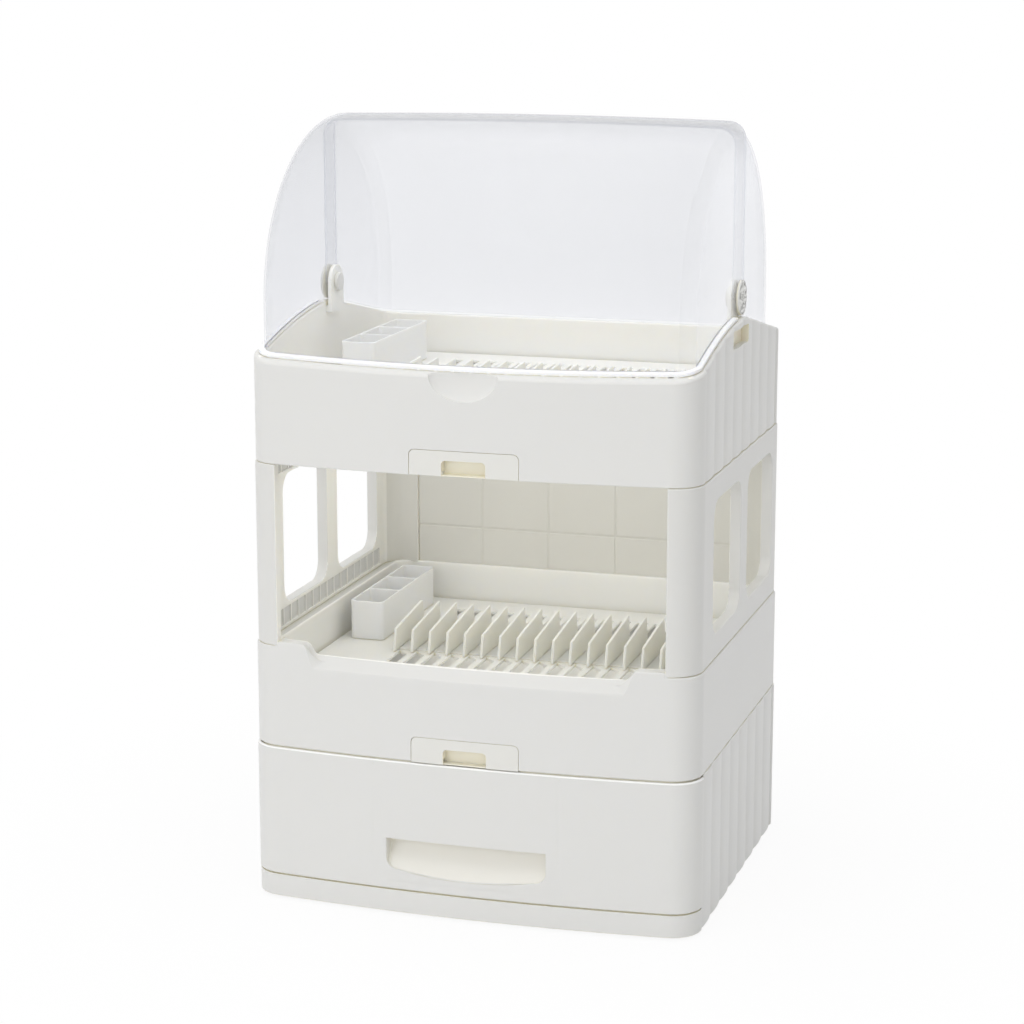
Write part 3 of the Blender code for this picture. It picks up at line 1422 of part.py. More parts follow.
def main():
    """Build every piece of the stack."""
    build_feet()
    build_base_housing()
    build_drawer_front()
    build_drawer_bin()
    build_lower_tray()
    build_drip_tray("lower_drip_tray", LOWER_TRAY_WIDTH, LOWER_TRAY_BOTTOM)
    build_drip_tray("upper_drip_tray", UPPER_TRAY_WIDTH, UPPER_TRAY_BOTTOM)
    build_dish_rack("lower_dish_rack", LOWER_BASIN_WIDTH, LOWER_BASIN_FLOOR, LOWER_PLATE_TOP)
    build_dish_rack("upper_dish_rack", UPPER_TRAY_WIDTH, UPPER_BASIN_FLOOR, UPPER_PLATE_TOP)
    build_fin_comb("lower_fin_comb", LOWER_PLATE_TOP, LOWER_FIN_HEIGHT)
    build_fin_comb("upper_fin_comb", UPPER_PLATE_TOP, UPPER_FIN_HEIGHT)
    build_cutlery_caddy("lower_cutlery_caddy", CADDY_FRONT_Y, LOWER_PLATE_TOP)
    build_cutlery_caddy("upper_cutlery_caddy", CADDY_FRONT_Y - CADDY_SHIFT, UPPER_PLATE_TOP)
    build_side_panel("left_side_panel", -1)
    build_side_panel("right_side_panel", 1)
    build_back_panel()
    build_upper_tray()
    build_hood("front_hood", True)
    build_hood("rear_hood", False)
    for prefix, side in (("left", -1), ("right", 1)):
        build_hinge_knob(prefix + "_hinge_knob", side)
        build_hinge_cap(prefix + "_hinge_cap", side)


main()
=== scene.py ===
"""Looks of the covered dish drainer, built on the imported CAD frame.

Every visible CAD node is replaced by a finer piece with real fillets, and the studio,
the camera and the procedural finishes are set up here. Metres, +Z up, front towards -Y.
"""

import json
import logging
import math
from collections.abc import Callable, Sequence
from dataclasses import dataclass, field
from enum import Enum

import bmesh
import bpy
import numpy as np
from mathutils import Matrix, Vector

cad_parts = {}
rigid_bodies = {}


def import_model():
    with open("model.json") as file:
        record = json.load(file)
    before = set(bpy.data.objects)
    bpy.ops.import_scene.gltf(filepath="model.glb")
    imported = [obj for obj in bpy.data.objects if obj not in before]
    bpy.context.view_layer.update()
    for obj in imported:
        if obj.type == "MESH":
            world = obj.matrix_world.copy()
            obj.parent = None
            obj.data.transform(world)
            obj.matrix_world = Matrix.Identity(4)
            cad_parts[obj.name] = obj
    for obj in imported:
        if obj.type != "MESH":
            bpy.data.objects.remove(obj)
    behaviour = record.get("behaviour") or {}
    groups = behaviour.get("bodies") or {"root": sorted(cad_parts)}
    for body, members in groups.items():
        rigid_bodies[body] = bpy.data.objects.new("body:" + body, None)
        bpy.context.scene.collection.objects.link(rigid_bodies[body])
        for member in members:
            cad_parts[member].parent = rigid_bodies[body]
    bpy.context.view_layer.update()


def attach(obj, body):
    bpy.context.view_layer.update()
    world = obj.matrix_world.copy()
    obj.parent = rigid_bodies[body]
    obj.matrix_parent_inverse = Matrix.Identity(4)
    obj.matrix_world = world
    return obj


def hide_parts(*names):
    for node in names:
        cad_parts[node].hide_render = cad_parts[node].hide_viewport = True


LOG = logging.getLogger("dish_drainer")

Pair = tuple[float, float]
Triple = tuple[float, float, float]
Rule = Callable[[np.ndarray, np.ndarray], np.ndarray]
Values = dict[str | int, object]

# Levels and widths of the tiers, as in the CAD source
FRONT_Y = -0.210
REAR_Y = 0.210
CREASE_Y = -0.1634
PLINTH_BOTTOM = 0.003
DRAWER_BOTTOM = 0.027
LOWER_TRAY_BOTTOM = 0.169
LOWER_FLOOR = 0.203
LOWER_PLATE_TOP = 0.238
FLANGE_TOP = 0.277
UPPER_TRAY_BOTTOM = 0.4695
UPPER_FLOOR = 0.5035
UPPER_PLATE_TOP = 0.529
FRONT_RIM = 0.572
RIM_PEAK = 0.6105
REAR_RIM = 0.571
HINGE_Y = 0.022
HINGE_Z = 0.630
HINGE = (0.0, HINGE_Y, HINGE_Z)
HINGE_BORE = 0.0048
BASE_WIDTH = 0.482
DRAWER_WIDTH = 0.483
LOWER_TRAY_WIDTH = 0.480
LOWER_BASIN_WIDTH = 0.450
FRAME_WIDTH = 0.477
UPPER_TRAY_WIDTH = 0.475
BOW = 0.0146

# Gap under a seated piece, reaches of cutters and joints, and the slack of rules that pick faces
SEAT_GAP = 0.0003
OVERRUN = 0.010
OVERLAP = 0.001
BEYOND = 0.3
SLACK = 0.0005
BASIN_EDGE = 0.0105

MIRROR = np.array((-1.0, 1.0))


class Side(Enum):
    """Left or right, seen from the front."""

    LEFT = -1
    RIGHT = 1


def span(side: Side, near: float, far: float) -> Pair:
    """Two positions across on one side of the middle, the lesser one first."""
    low, high = sorted((side.value * near, side.value * far))
    return low, high


def arc(centre: Sequence[float], radius: float, start: float, end: float, steps: int) -> np.ndarray:
    """Points of an arc, centre + radius * (cos, sin) of each angle, as rows of two coordinates."""
    angles = np.linspace(start, end, steps + 1)
    return np.array(centre) + radius * np.column_stack((np.cos(angles), np.sin(angles)))


def looped(right: np.ndarray) -> np.ndarray:
    """A closed outline, from its right half that starts on the middle line."""
    return np.vstack((right, right[:0:-1] * MIRROR))


def opened(right: np.ndarray) -> np.ndarray:
    """An open line, from its right half that starts on the middle line."""
    return np.vstack((right[:0:-1] * MIRROR, right))


@dataclass(frozen=True)
class Plan:
    """Plan of a tier: bowed front, round corners and plain or fluted sides."""

    width: float
    fluted: bool = False
    front_radius: float = 0.032
    rear_radius: float = 0.030
    flute_count: int = 8
    flute_depth: float = 0.0018
    flute_power: float = 2.6
    flute_steps: int = 12
    crease_run: float = 0.003
    bow_steps: int = 34
    shoulder_shares: Pair = (0.735, 0.89)
    shoulder_steps: int = 22
    end_shares: Pair = (0.9785, 0.981)
    front_steps: int = 14
    rear_steps: int = 10

    def bow_at(self, x: np.ndarray, width: float) -> np.ndarray:
        """How far the front line lies behind its middle: BOW times the square of 2 x / width."""
        return BOW * (x / (width / 2)) ** 2

    def corner(self, width: float, inset: float) -> tuple[float, float, float, float]:
        """Where the front corner's arc leaves the bow, so that both have one slope there.

        The arc's end lies radius * (1 - sin(slope)) inside the plan's half width, and the bow's
        slope there is 2 * bow / x. Three rounds settle the two.

        Args:
            width: Full width of the plan.
            inset: How far the line lies inside the plan.

        Returns:
            Position x and y of that point, the bow's slope there and the arc's radius.
        """
        radius = self.front_radius - inset
        x = slope = 0.0
        for _ in range(3):
            x = width / 2 - inset - radius * (1 - math.sin(slope))
            slope = math.atan(2 * self.bow_at(x, width) / x)
        return x, FRONT_Y + inset + self.bow_at(x, width), slope, radius

    def stations(self) -> np.ndarray:
        """Shares of the bow's half, closer together at the shoulders of the sill."""
        even = np.linspace(0.0, 1.0, self.bow_steps)
        close = np.linspace(*self.shoulder_shares, self.shoulder_steps)
        return np.unique(np.round(np.concatenate((even, close, self.end_shares)), 5))

    def front_half(self, width: float, inset: float) -> np.ndarray:
        """The right half of the front, from the middle of the bow to the crease.

        Args:
            width: Full width of the plan.
            inset: How far the line lies inside the plan.

        Returns:
            Points as rows of x and y.
        """
        meet_x, meet_y, slope, radius = self.corner(width, inset)
        bow_x = self.stations()[:-1] * meet_x
        bow_line = np.column_stack((bow_x, FRONT_Y + inset + self.bow_at(bow_x, width)))
        centre = (width / 2 - inset - radius, meet_y + radius * math.cos(slope))
        return np.vstack((bow_line, arc(centre, radius, slope - math.pi / 2, 0.0, self.front_steps)))

    def points(self, inset: float = 0.0, flute: float = 1.0, width: float | None = None) -> np.ndarray:
        """The closed plan line, counter-clockwise from the middle of the front.

        A flute is flute_depth * |phase| ** flute_power deep, where its phase runs from -1 to 1.

        Args:
            inset: How far the line lies inside the plan.
            flute: Share of the flutes' depth that this line has.
            width: Full width, where it isn't the plan's own.

        Returns:
            Points as rows of x and y.
        """
        width = width or self.width
        half, radius = width / 2 - inset, self.rear_radius - inset
        rear_y = REAR_Y - inset - radius
        front = self.front_half(width, inset)
        parts = [front]
        if self.fluted:
            share = np.linspace(0.0, self.flute_count, self.flute_count * self.flute_steps + 1)
            start = front[-1, 1] + self.crease_run
            run = rear_y - self.crease_run - start
            phase = 2 * (share - np.floor(share)) - 1
            depth = flute * self.flute_depth * np.abs(phase) ** self.flute_power
            parts.append(np.column_stack((half - depth, start + run * share / self.flute_count)))
        parts.append(arc((half - radius, rear_y), radius, 0.0, math.pi / 2, self.rear_steps))
        return looped(np.vstack(parts))

    def front_points(self, inset: float = 0.0) -> np.ndarray:
        """The open front line from the left crease to the right one, drawn in by an inset."""
        return opened(self.front_half(self.width, inset))


def rim_height(y: np.ndarray) -> np.ndarray:
    """Top of the upper tray's rim: a quarter sine up to the hinge, then a straight fall.

    Args:
        y: Positions along the depth.

    Returns:
        Heights of the rim.
    """
    share = np.clip((y - FRONT_Y) / (HINGE_Y - FRONT_Y), 0.0, 1.0)
    rise = FRONT_RIM + (RIM_PEAK - FRONT_RIM) * np.sin(np.pi / 2 * share)
    fall = RIM_PEAK + (REAR_RIM - RIM_PEAK) * (y - HINGE_Y) / (REAR_Y - HINGE_Y)
    return np.where(y <= HINGE_Y, rise, fall)


@dataclass(frozen=True)
class Row:
    """One line of a wall's profile: its inset, height, flutes, lift and plan width."""

    inset: float
    z: float
    flute: float = 0.0
    lift: float = 0.0
    width: float = 0.0
    round_by: float = 0.0

    def values(self, width: float) -> np.ndarray:
        """Width, or the plan's own where none is stated, inset, height, share of flutes and of lift."""
        return np.array((self.width or width, self.inset, self.z, self.flute, self.lift))


def rounded(rows: Sequence[Row], width: float, closed: bool) -> np.ndarray:
    """Round a profile's corners by rational quadratic arcs.

    At share t, an arc's ends weigh (1 - t) ** 2 and t ** 2, and its corner sqrt(2) * t * (1 - t).

    Args:
        rows: The profile's corners.
        width: The plan's own width.
        closed: Whether the profile is a loop.

    Returns:
        The profile's lines, one row of values for each.
    """
    most, steps = 0.49, 5
    made = []
    count = len(rows)
    for index, row in enumerate(rows):
        corner = row.values(width)
        if row.round_by <= 0 or (not closed and index in (0, count - 1)):
            made.append(corner)
            continue
        ends = []
        for other in (rows[index - 1], rows[(index + 1) % count]):
            step = other.values(width) - corner
            run = math.hypot(step[1] - step[0] / 2, step[2])
            ends.append(corner + step * min(row.round_by / run, most))
        for share in np.linspace(0.0, 1.0, steps + 1):
            start, middle, end = (1 - share) ** 2, math.sqrt(2) * share * (1 - share), share**2
            blend = start * ends[0] + middle * corner + end * ends[1]
            made.append(blend / (start + middle + end))
    return np.array(made)


def linked(name: str, data: bpy.types.ID) -> bpy.types.Object:
    """Add an object to the scene.

    Args:
        name: The object's name.
        data: Its mesh, lamp or camera.

    Returns:
        The object.
    """
    made = bpy.data.objects.new(name, data)
    bpy.context.scene.collection.objects.link(made)
    return made


def mesh_from(name: str, points: np.ndarray, faces: list[list[int]]) -> bpy.types.Object:
    """Make a mesh object with all its faces outwards.

    Args:
        name: The object's name.
        points: Corners as rows of x, y and z.
        faces: Corner numbers of each face.

    Returns:
        The linked object.
    """
    data = bpy.data.meshes.new(name)
    data.from_pydata(points.tolist(), [], faces)
    shape = bmesh.new()
    shape.from_mesh(data)
    bmesh.ops.recalc_face_normals(shape, faces=shape.faces)
    shape.to_mesh(data)
    shape.free()
    return linked(name, data)


def corners_of(data: bpy.types.Mesh) -> np.ndarray:
    """Read a mesh's corners.

    Args:
        data: The mesh.

    Returns:
        Rows of x, y and z.
    """
    spots = np.empty(len(data.vertices) * 3)
    data.vertices.foreach_get("co", spots)
    return spots.reshape(-1, 3)


def move_corners(data: bpy.types.Mesh, spots: np.ndarray) -> None:
    """Move a mesh's corners to new spots."""
    data.vertices.foreach_set("co", spots.ravel())
    data.update()


def rings(name: str, grid: np.ndarray, rows_closed: bool, columns_closed: bool) -> bpy.types.Object:
    """Skin a grid of points with quads, and with flat caps where only one way is closed.

    Args:
        name: The object's name.
        grid: Points as rows by columns by x, y and z.
        rows_closed: Whether the last row meets the first.
        columns_closed: Whether the last column meets the first.

    Returns:
        The linked object.
    """
    rows, columns = grid.shape[:2]
    row = np.arange(rows if rows_closed else rows - 1)
    column = np.arange(columns if columns_closed else columns - 1)
    row, column = np.meshgrid(row, column, indexing="ij")
    this, following = row * columns, (row + 1) % rows * columns
    beside = (column + 1) % columns
    quads = np.stack((this + column, this + beside, following + beside, following + column), axis=-1)
    faces = quads.reshape(-1, 4).tolist()
    count = rows * columns
    if not rows_closed:
        faces += [list(range(columns)), list(range(count - columns, count))]
    elif not columns_closed:
        faces += [list(range(0, count, columns)), list(range(columns - 1, count, columns))]
    return mesh_from(name, grid.reshape(-1, 3), faces)


def sweep(
    name: str,
    rows: Sequence[Row],
    plan: Plan,
    closed: bool = False,
    lift: Callable[[np.ndarray], np.ndarray] | None = None,
    front_only: bool = False,
) -> bpy.types.Object:
    """Sweep a wall's profile round a plan.

    Each line is the plan drawn in by the profile's inset, at its height plus its share of the lift.

    Args:
        name: The object's name.
        rows: The profile's corners.
        plan: The plan that it follows.
        closed: Whether the profile is a loop; otherwise flat caps close it.
        lift: Extra height from y, times each line's share of the lift.
        front_only: Whether only the front is swept, from crease to crease.

    Returns:
        The linked object.
    """
    lines = []
    for width, inset, z, flute, share in rounded(rows, plan.width, closed):
        flat = plan.front_points(inset) if front_only else plan.points(inset, flute, width)
        height = np.full(len(flat), z)
        if lift is not None and share > 0:
            height = height + share * lift(flat[:, 1])
        lines.append(np.column_stack((flat, height)))
    return rings(name, np.array(lines), closed, not front_only)


def prism(name: str, outline: np.ndarray, axis: str, low: float, high: float) -> bpy.types.Object:
    """A straight prism: its outline has x, y for axis Z, x, z for axis Y and y, z for axis X."""
    layers = [np.insert(outline, "XYZ".index(axis), level, axis=1) for level in (low, high)]
    return rings(name, np.array(layers), False, True)


def block(name: str, low: Sequence[float], high: Sequence[float]) -> bpy.types.Object:
    """A box between its lowest and its highest corner."""
    outline = np.array(((low[0], low[1]), (high[0], low[1]), (high[0], high[1]), (low[0], high[1])))
    return prism(name, outline, "Z", low[2], high[2])


def rounded_rectangle(
    left: float,
    right: float,
    low: float,
    high: float,
    radius: float,
    steps: int = 10,
) -> np.ndarray:
    """A rounded rectangle of four quarter arcs, counter-clockwise.

    Args:
        left: Least first coordinate.
        right: Greatest first coordinate.
        low: Least second coordinate.
        high: Greatest second coordinate.
        radius: Radius of its corners.
        steps: Facets of a corner.

    Returns:
        Points as rows of two coordinates.
    """
    near, far, under, over = left + radius, right - radius, low + radius, high - radius
    corners = []
    for turn, centre in enumerate(((far, under), (far, over), (near, over), (near, under))):
        start = (turn - 1) * math.pi / 2
        corners.append(arc(centre, radius, start, start + math.pi / 2, steps))
    return np.vstack(corners)


def disc(
    name: str,
    centre: Sequence[float],
    axis: str,
    rows: Sequence[Pair],
    segments: int = 64,
) -> bpy.types.Object:
    """A turned piece: each ring is radius * (cos, sin) round the axis, at its position along it.

    Args:
        name: The object's name.
        centre: A point on the axis.
        axis: X or Z.
        rows: Position along the axis and radius of each ring, end to end.
        segments: Facets round.

    Returns:
        The linked object.
    """
    circle = arc((0.0, 0.0), 1.0, 0.0, 2 * math.pi, segments)[:-1]
    across = np.array(centre[1:] if axis == "X" else centre[:2])
    lines = [np.insert(across + circle * radius, "XYZ".index(axis), along, axis=1) for along, radius in rows]
    return rings(name, np.array(lines), False, True)


def bake(target: bpy.types.Object) -> bpy.types.Object:
    """Turn an object's modifiers into its mesh.

    Args:
        target: The object.

    Returns:
        The same object.
    """
    bpy.context.view_layer.update()
    evaluated = target.evaluated_get(bpy.context.evaluated_depsgraph_get())
    data = bpy.data.meshes.new_from_object(evaluated)
    target.modifiers.clear()
    target.data = data
    return target


def combine(target: bpy.types.Object, tools: Sequence[bpy.types.Object], operation: str) -> bpy.types.Object:
    """Cut tools from an object, or join them to it, by exact Booleans.

    Args:
        target: The object that changes.
        tools: The other solids, removed afterwards.
        operation: DIFFERENCE, UNION or INTERSECT.

    Returns:
        The changed object.
    """
    for tool in tools:
        modifier = target.modifiers.new(tool.name, "BOOLEAN")
        modifier.operation = operation
        modifier.solver = "EXACT"
        modifier.object = tool
    bake(target)
    for tool in tools:
        bpy.data.objects.remove(tool, do_unlink=True)
    return target


def merge(name: str, parts: Sequence[bpy.types.Object]) -> bpy.types.Object:
    """Put several meshes in one object as separate shells.

    Args:
        name: The object's name.
        parts: The objects, removed afterwards.

    Returns:
        The new object.
    """
    shape = bmesh.new()
    for part in parts:
        shape.from_mesh(part.data)
        bpy.data.objects.remove(part, do_unlink=True)
    data = bpy.data.meshes.new(name)
    shape.to_mesh(data)
    shape.free()
    return linked(name, data)


def soften(target: bpy.types.Object, width: float, segments: int = 3) -> None:
    """Round the sharp edges that cuts left, and shade the whole smooth.

    Args:
        target: The object.
        width: The rounding's width; none where it is zero.
        segments: Facets of the rounding.
    """
    least_angle = math.radians(32.0)
    target.data.shade_smooth()
    if width > 0:
        bevel = target.modifiers.new("edge_round", "BEVEL")
        bevel.width = width
        bevel.segments = segments
        bevel.limit_method = "ANGLE"
        bevel.angle_limit = least_angle
        bevel.use_clamp_overlap = False
        bevel.harden_normals = False
    else:
        target.data.set_sharp_from_angle(angle=least_angle)
    normals = target.modifiers.new("normals", "WEIGHTED_NORMAL")
    normals.mode = "FACE_AREA"
    normals.weight = 80
    normals.keep_sharp = True


@dataclass(frozen=True)
class Nodes:
    """A small helper that adds and links shader nodes in one tree."""

    tree: bpy.types.NodeTree

    def fill(self, node: bpy.types.Node, values: Values) -> bpy.types.Node:
        """Set or link inputs of a node.

        Args:
            node: The node.
            values: A value, or the output that feeds it, for each input's name or number.

        Returns:
            The node.
        """
        for key, value in values.items():
            if isinstance(value, bpy.types.NodeSocket):
                self.tree.links.new(value, node.inputs[key])
            else:
                node.inputs[key].default_value = value
        return node

    def add(self, kind: str, values: Values | None = None, **settings: object) -> bpy.types.Node:
        """Add a node.

        Args:
            kind: The node's type.
            values: Values or outputs for its inputs.
            **settings: Attributes of the node.

        Returns:
            The node.
        """
        node = self.tree.nodes.new(kind)
        for key, value in settings.items():
            setattr(node, key, value)
        return self.fill(node, values or {})

    def math(self, operation: str, *values: object, clamp: bool = False) -> bpy.types.NodeSocket:
        """The output of a Math node with these values, kept from 0 to 1 where clamp is set."""
        node = self.add("ShaderNodeMath", dict(enumerate(values)), operation=operation, use_clamp=clamp)
        return node.outputs["Value"]

    def mix(self, share: object, first: object, second: object) -> bpy.types.NodeSocket:
        """The output of a mix of two shaders, where share is the second one's part."""
        return self.add("ShaderNodeMixShader", {0: share, 1: first, 2: second}).outputs["Shader"]


def shader_group(
    name: str,
    inputs: dict[str, str],
    outputs: dict[str, str],
) -> tuple[Nodes, bpy.types.Node, bpy.types.Node]:
    """Start a node group.

    Args:
        name: The group's name.
        inputs: Kind of each input, such as Float, by its name.
        outputs: Kind of each output by its name.

    Returns:
        The helper for its tree, its input node and its output node.
    """
    tree = bpy.data.node_groups.new(name, "ShaderNodeTree")
    for way, sockets in (("INPUT", inputs), ("OUTPUT", outputs)):
        for socket, kind in sockets.items():
            tree.interface.new_socket(socket, in_out=way, socket_type=f"NodeSocket{kind}")
    nodes = Nodes(tree)
    return nodes, nodes.add("NodeGroupInput"), nodes.add("NodeGroupOutput")


def grain_group() -> bpy.types.NodeTree:
    """Node group of moulded plastic's fine grain.

    Returns:
        The group, with a normal and a roughness as outputs.
    """
    name = "moulded_grain"
    if name in bpy.data.node_groups:
        return bpy.data.node_groups[name]
    sockets = ({"Position": "Vector", "Roughness": "Float"}, {"Normal": "Vector", "Roughness": "Float"})
    nodes, given, result = shader_group(name, *sockets)
    position = given.outputs["Position"]
    cloud = nodes.add("ShaderNodeTexNoise", {"Vector": position, "Scale": 11.0, "Detail": 2.0})
    grain = nodes.add("ShaderNodeTexNoise", {"Vector": position, "Scale": 900.0, "Detail": 2.0})
    bumps = {"Strength": 0.10, "Distance": 0.00003, "Height": grain.outputs["Fac"]}
    fine = nodes.add("ShaderNodeBump", bumps)
    cloud_share = 0.05
    spread = nodes.math("MULTIPLY_ADD", cloud.outputs["Fac"], cloud_share, given.outputs["Roughness"])
    nodes.fill(result, {"Normal": fine.outputs["Normal"], "Roughness": spread})
    return nodes.tree


def painted_crevice_group() -> bpy.types.NodeTree:
    """Node group of painted shade and warm painted glow in narrow gaps, which ambient occlusion finds.

    Returns:
        The group, with a colour as its output.
    """
    name = "crevice_tint"
    if name in bpy.data.node_groups:
        return bpy.data.node_groups[name]
    sockets = ({"Open": "Color", "Deep": "Color", "Reach": "Float"}, {"Color": "Color"})
    nodes, given, result = shader_group(name, *sockets)
    # painted shade and glow: ambient occlusion blends the open colour towards the crevice colour
    hidden = nodes.add("ShaderNodeAmbientOcclusion", {"Distance": given.outputs["Reach"]}, samples=6)
    limits = {"Value": hidden.outputs["AO"], "From Min": 0.05, "From Max": 0.75}
    curve = nodes.add("ShaderNodeMapRange", limits, interpolation_type="SMOOTHSTEP")
    ends = {"Factor": curve.outputs["Result"], 6: given.outputs["Deep"], 7: given.outputs["Open"]}
    mixed = nodes.add("ShaderNodeMix", ends, data_type="RGBA")
    nodes.fill(result, {"Color": mixed.outputs[2]})
    return nodes.tree


@dataclass(frozen=True)
class Finish:
    """A named look, made into a material once."""

    name: str

    def material(self) -> bpy.types.Material:
        """The finish as a material.

        Returns:
            The material, new at the first call.
        """
        if self.name in bpy.data.materials:
            return bpy.data.materials[self.name]
        material = bpy.data.materials.new(self.name)
        material.use_nodes = True
        self.dress(Nodes(material.node_tree), material.node_tree.nodes["Principled BSDF"])
        return material

    def dress(self, nodes: Nodes, shader: bpy.types.Node) -> None:
        """Set up the material's nodes and its Principled BSDF."""
        raise NotImplementedError


@dataclass(frozen=True)
class PlasticFinish(Finish):
    """Glossy moulded plastic with painted shade and warm painted glow in its crevices."""

    colour: Triple
    # colour painted into crevices: painted shade, or a warm painted glow where it is lighter than the open
    # colour
    deep: Triple = (0.88, 0.84, 0.66)
    roughness: float = 0.31
    reach: float = 0.010
    glow: float = 0.10
    glow_depth: float = 0.004
    ior: float = 1.49

    def dress(self, nodes: Nodes, shader: bpy.types.Node) -> None:
        """Set up grain, the painted shade and glow in crevices, gloss and the light that spreads below the
        surface.

        Args:
            nodes: The helper for the material's tree.
            shader: Its Principled BSDF.
        """
        given = {"Position": nodes.add("ShaderNodeTexCoord").outputs["Object"], "Roughness": self.roughness}
        grain = nodes.add("ShaderNodeGroup", given, node_tree=grain_group())
        # painted shade and glow in crevices
        colours = {"Open": (*self.colour, 1.0), "Deep": (*self.deep, 1.0), "Reach": self.reach}
        crevice_paint = nodes.add("ShaderNodeGroup", colours, node_tree=painted_crevice_group())
        looks = {
            "Base Color": crevice_paint.outputs["Color"],
            "Normal": grain.outputs["Normal"],
            "Roughness": grain.outputs["Roughness"],
            "Metallic": 0.0,
            "IOR": self.ior,
            "Subsurface Weight": self.glow,
            "Subsurface Radius": (1.0, 0.9, 0.7),
            "Subsurface Scale": self.glow_depth,
        }
        nodes.fill(shader, looks)


@dataclass(frozen=True)
class ClearFinish(Finish):
    """Thin clear plastic sheet: light passes straight through it, and its shadow stays light."""

    colour: Triple = (0.98, 0.985, 1.0)
    haze: Triple = (0.92, 0.93, 0.98)
    haze_share: float = 0.08
    rim_haze: float = 0.35
    rim_power: float = 4.0
    roughness: float = 0.02
    ior: float = 1.0
    coat: float = 0.3
    shadow: float = 0.93

    def dress(self, nodes: Nodes, shader: bpy.types.Node) -> None:
        """Set up the clear sheet with its coat, the haze that grows at grazing angles, and the light shadow.

        Args:
            nodes: The helper for the material's tree.
            shader: Its Principled BSDF.
        """
        looks = {
            "Base Color": (*self.colour, 1.0),
            "Metallic": 0.0,
            "Roughness": self.roughness,
            "IOR": self.ior,
            "Transmission Weight": 1.0,
            "Coat Weight": self.coat,
        }
        nodes.fill(shader, looks)
        clear = nodes.add("ShaderNodeBsdfTransparent", {"Color": (*(self.shadow,) * 3, 1.0)})
        milk = nodes.add("ShaderNodeBsdfTranslucent", {"Color": (*self.haze, 1.0)})
        grazing = nodes.add("ShaderNodeLayerWeight", {"Blend": 0.5})
        rim = nodes.math("POWER", grazing.outputs["Facing"], self.rim_power)
        share = nodes.math("MULTIPLY_ADD", rim, self.rim_haze, self.haze_share, clamp=True)
        hazy = nodes.mix(share, shader.outputs["BSDF"], milk.outputs["BSDF"])
        path = nodes.add("ShaderNodeLightPath")
        passing = nodes.math("MAXIMUM", path.outputs["Is Shadow Ray"], path.outputs["Is Diffuse Ray"])
        chosen = nodes.mix(passing, hazy, clear.outputs["BSDF"])
        nodes.fill(nodes.tree.nodes["Material Output"], {"Surface": chosen})


@dataclass(frozen=True)
class MirrorFinish(Finish):
    """Bright backing seen through a clear knob's facets."""

    colour: Triple = (0.66, 0.66, 0.64)
    roughness: float = 0.16
    coat_roughness: float = 0.03

    def dress(self, nodes: Nodes, shader: bpy.types.Node) -> None:
        """Set up the metal and its coat.

        Args:
            nodes: The helper for the material's tree.
            shader: Its Principled BSDF.
        """
        looks = {
            "Base Color": (*self.colour, 1.0),
            "Metallic": 1.0,
            "Roughness": self.roughness,
            "Coat Weight": 1.0,
            "Coat Roughness": self.coat_roughness,
        }
        nodes.fill(shader, looks)


IVORY = PlasticFinish("ivory_plastic", (0.72, 0.718, 0.70))
FRAME_IVORY = PlasticFinish("frame_plastic", (0.70, 0.697, 0.675))
# pale cream for the bin, the rack plates and the fins: partly their own tone, partly painted light that lifts
# the shaded tiers
CREAM = PlasticFinish("cream_plastic", (0.90, 0.89, 0.84), glow=0.5, glow_depth=0.008)
FIN = PlasticFinish(
    "fin_plastic", (0.90, 0.89, 0.82), (0.86, 0.82, 0.66), reach=0.008, glow=0.6, glow_depth=0.008
)
# painted light: a much lighter copy of the ivory plastic for faces inside the tiers, standing in for light
# that reaches them
LIT_INNER = PlasticFinish("inner_wall_plastic", (0.91, 0.90, 0.85), glow=0.4, glow_depth=0.006)
BACK = PlasticFinish("back_plastic", (0.72, 0.71, 0.66), (0.78, 0.75, 0.64))
DRIP = PlasticFinish("drip_tray_plastic", (0.74, 0.735, 0.70))
# painted highlight: near-white band along the drawer front's rounded top edge, where top light catches it
EDGE_HIGHLIGHT = PlasticFinish("top_edge_plastic", (0.93, 0.93, 0.92), (0.93, 0.92, 0.90))
# painted light: a lighter, warmer copy of the ivory plastic for the shaded handle recess
RECESS_PAINTED_LIGHT = PlasticFinish("handle_plastic", (0.80, 0.785, 0.73))
# painted glow: a warm, light copy of the plastic for shaded nooks, standing in for light that comes through
# the plastic
NOOK_PAINTED_GLOW = PlasticFinish("notch_plastic", (0.86, 0.82, 0.69), (0.84, 0.79, 0.64), glow=0.4)
# near-white caddy: partly its own tone, partly painted light that lifts the shaded tier
CADDY = PlasticFinish("caddy_plastic", (0.93, 0.93, 0.91), (0.90, 0.88, 0.78), glow=0.5, glow_depth=0.008)
RUBBER = PlasticFinish("foot_rubber", (0.42, 0.42, 0.41), (0.2, 0.2, 0.2), 0.6, glow=0.0)
HOOD_CLEAR = ClearFinish("hood_clear_plastic")
HOOD_EDGE = ClearFinish("hood_edge_plastic", haze_share=0.11)
HOOD_SEAM = ClearFinish("hood_seam_plastic", haze=(0.82, 0.85, 0.95), haze_share=0.4)
# painted highlight: the clear hood's lip and lower edge painted opaque near-white, for the bright line light
# gives the clear edge
HOOD_LIP_HIGHLIGHT = PlasticFinish("hood_lip_plastic", (0.93, 0.93, 0.95), (0.90, 0.90, 0.90), glow=0.5)
# painted reflection: dark grey for random facets of the knob's disc, standing in for dark surroundings seen
# in clear facets
DARK_FACET_REFLECTION = PlasticFinish("knob_facet_plastic", (0.40, 0.40, 0.385), (0.4, 0.4, 0.38), glow=0.0)
SPARKLE = MirrorFinish("knob_facets")


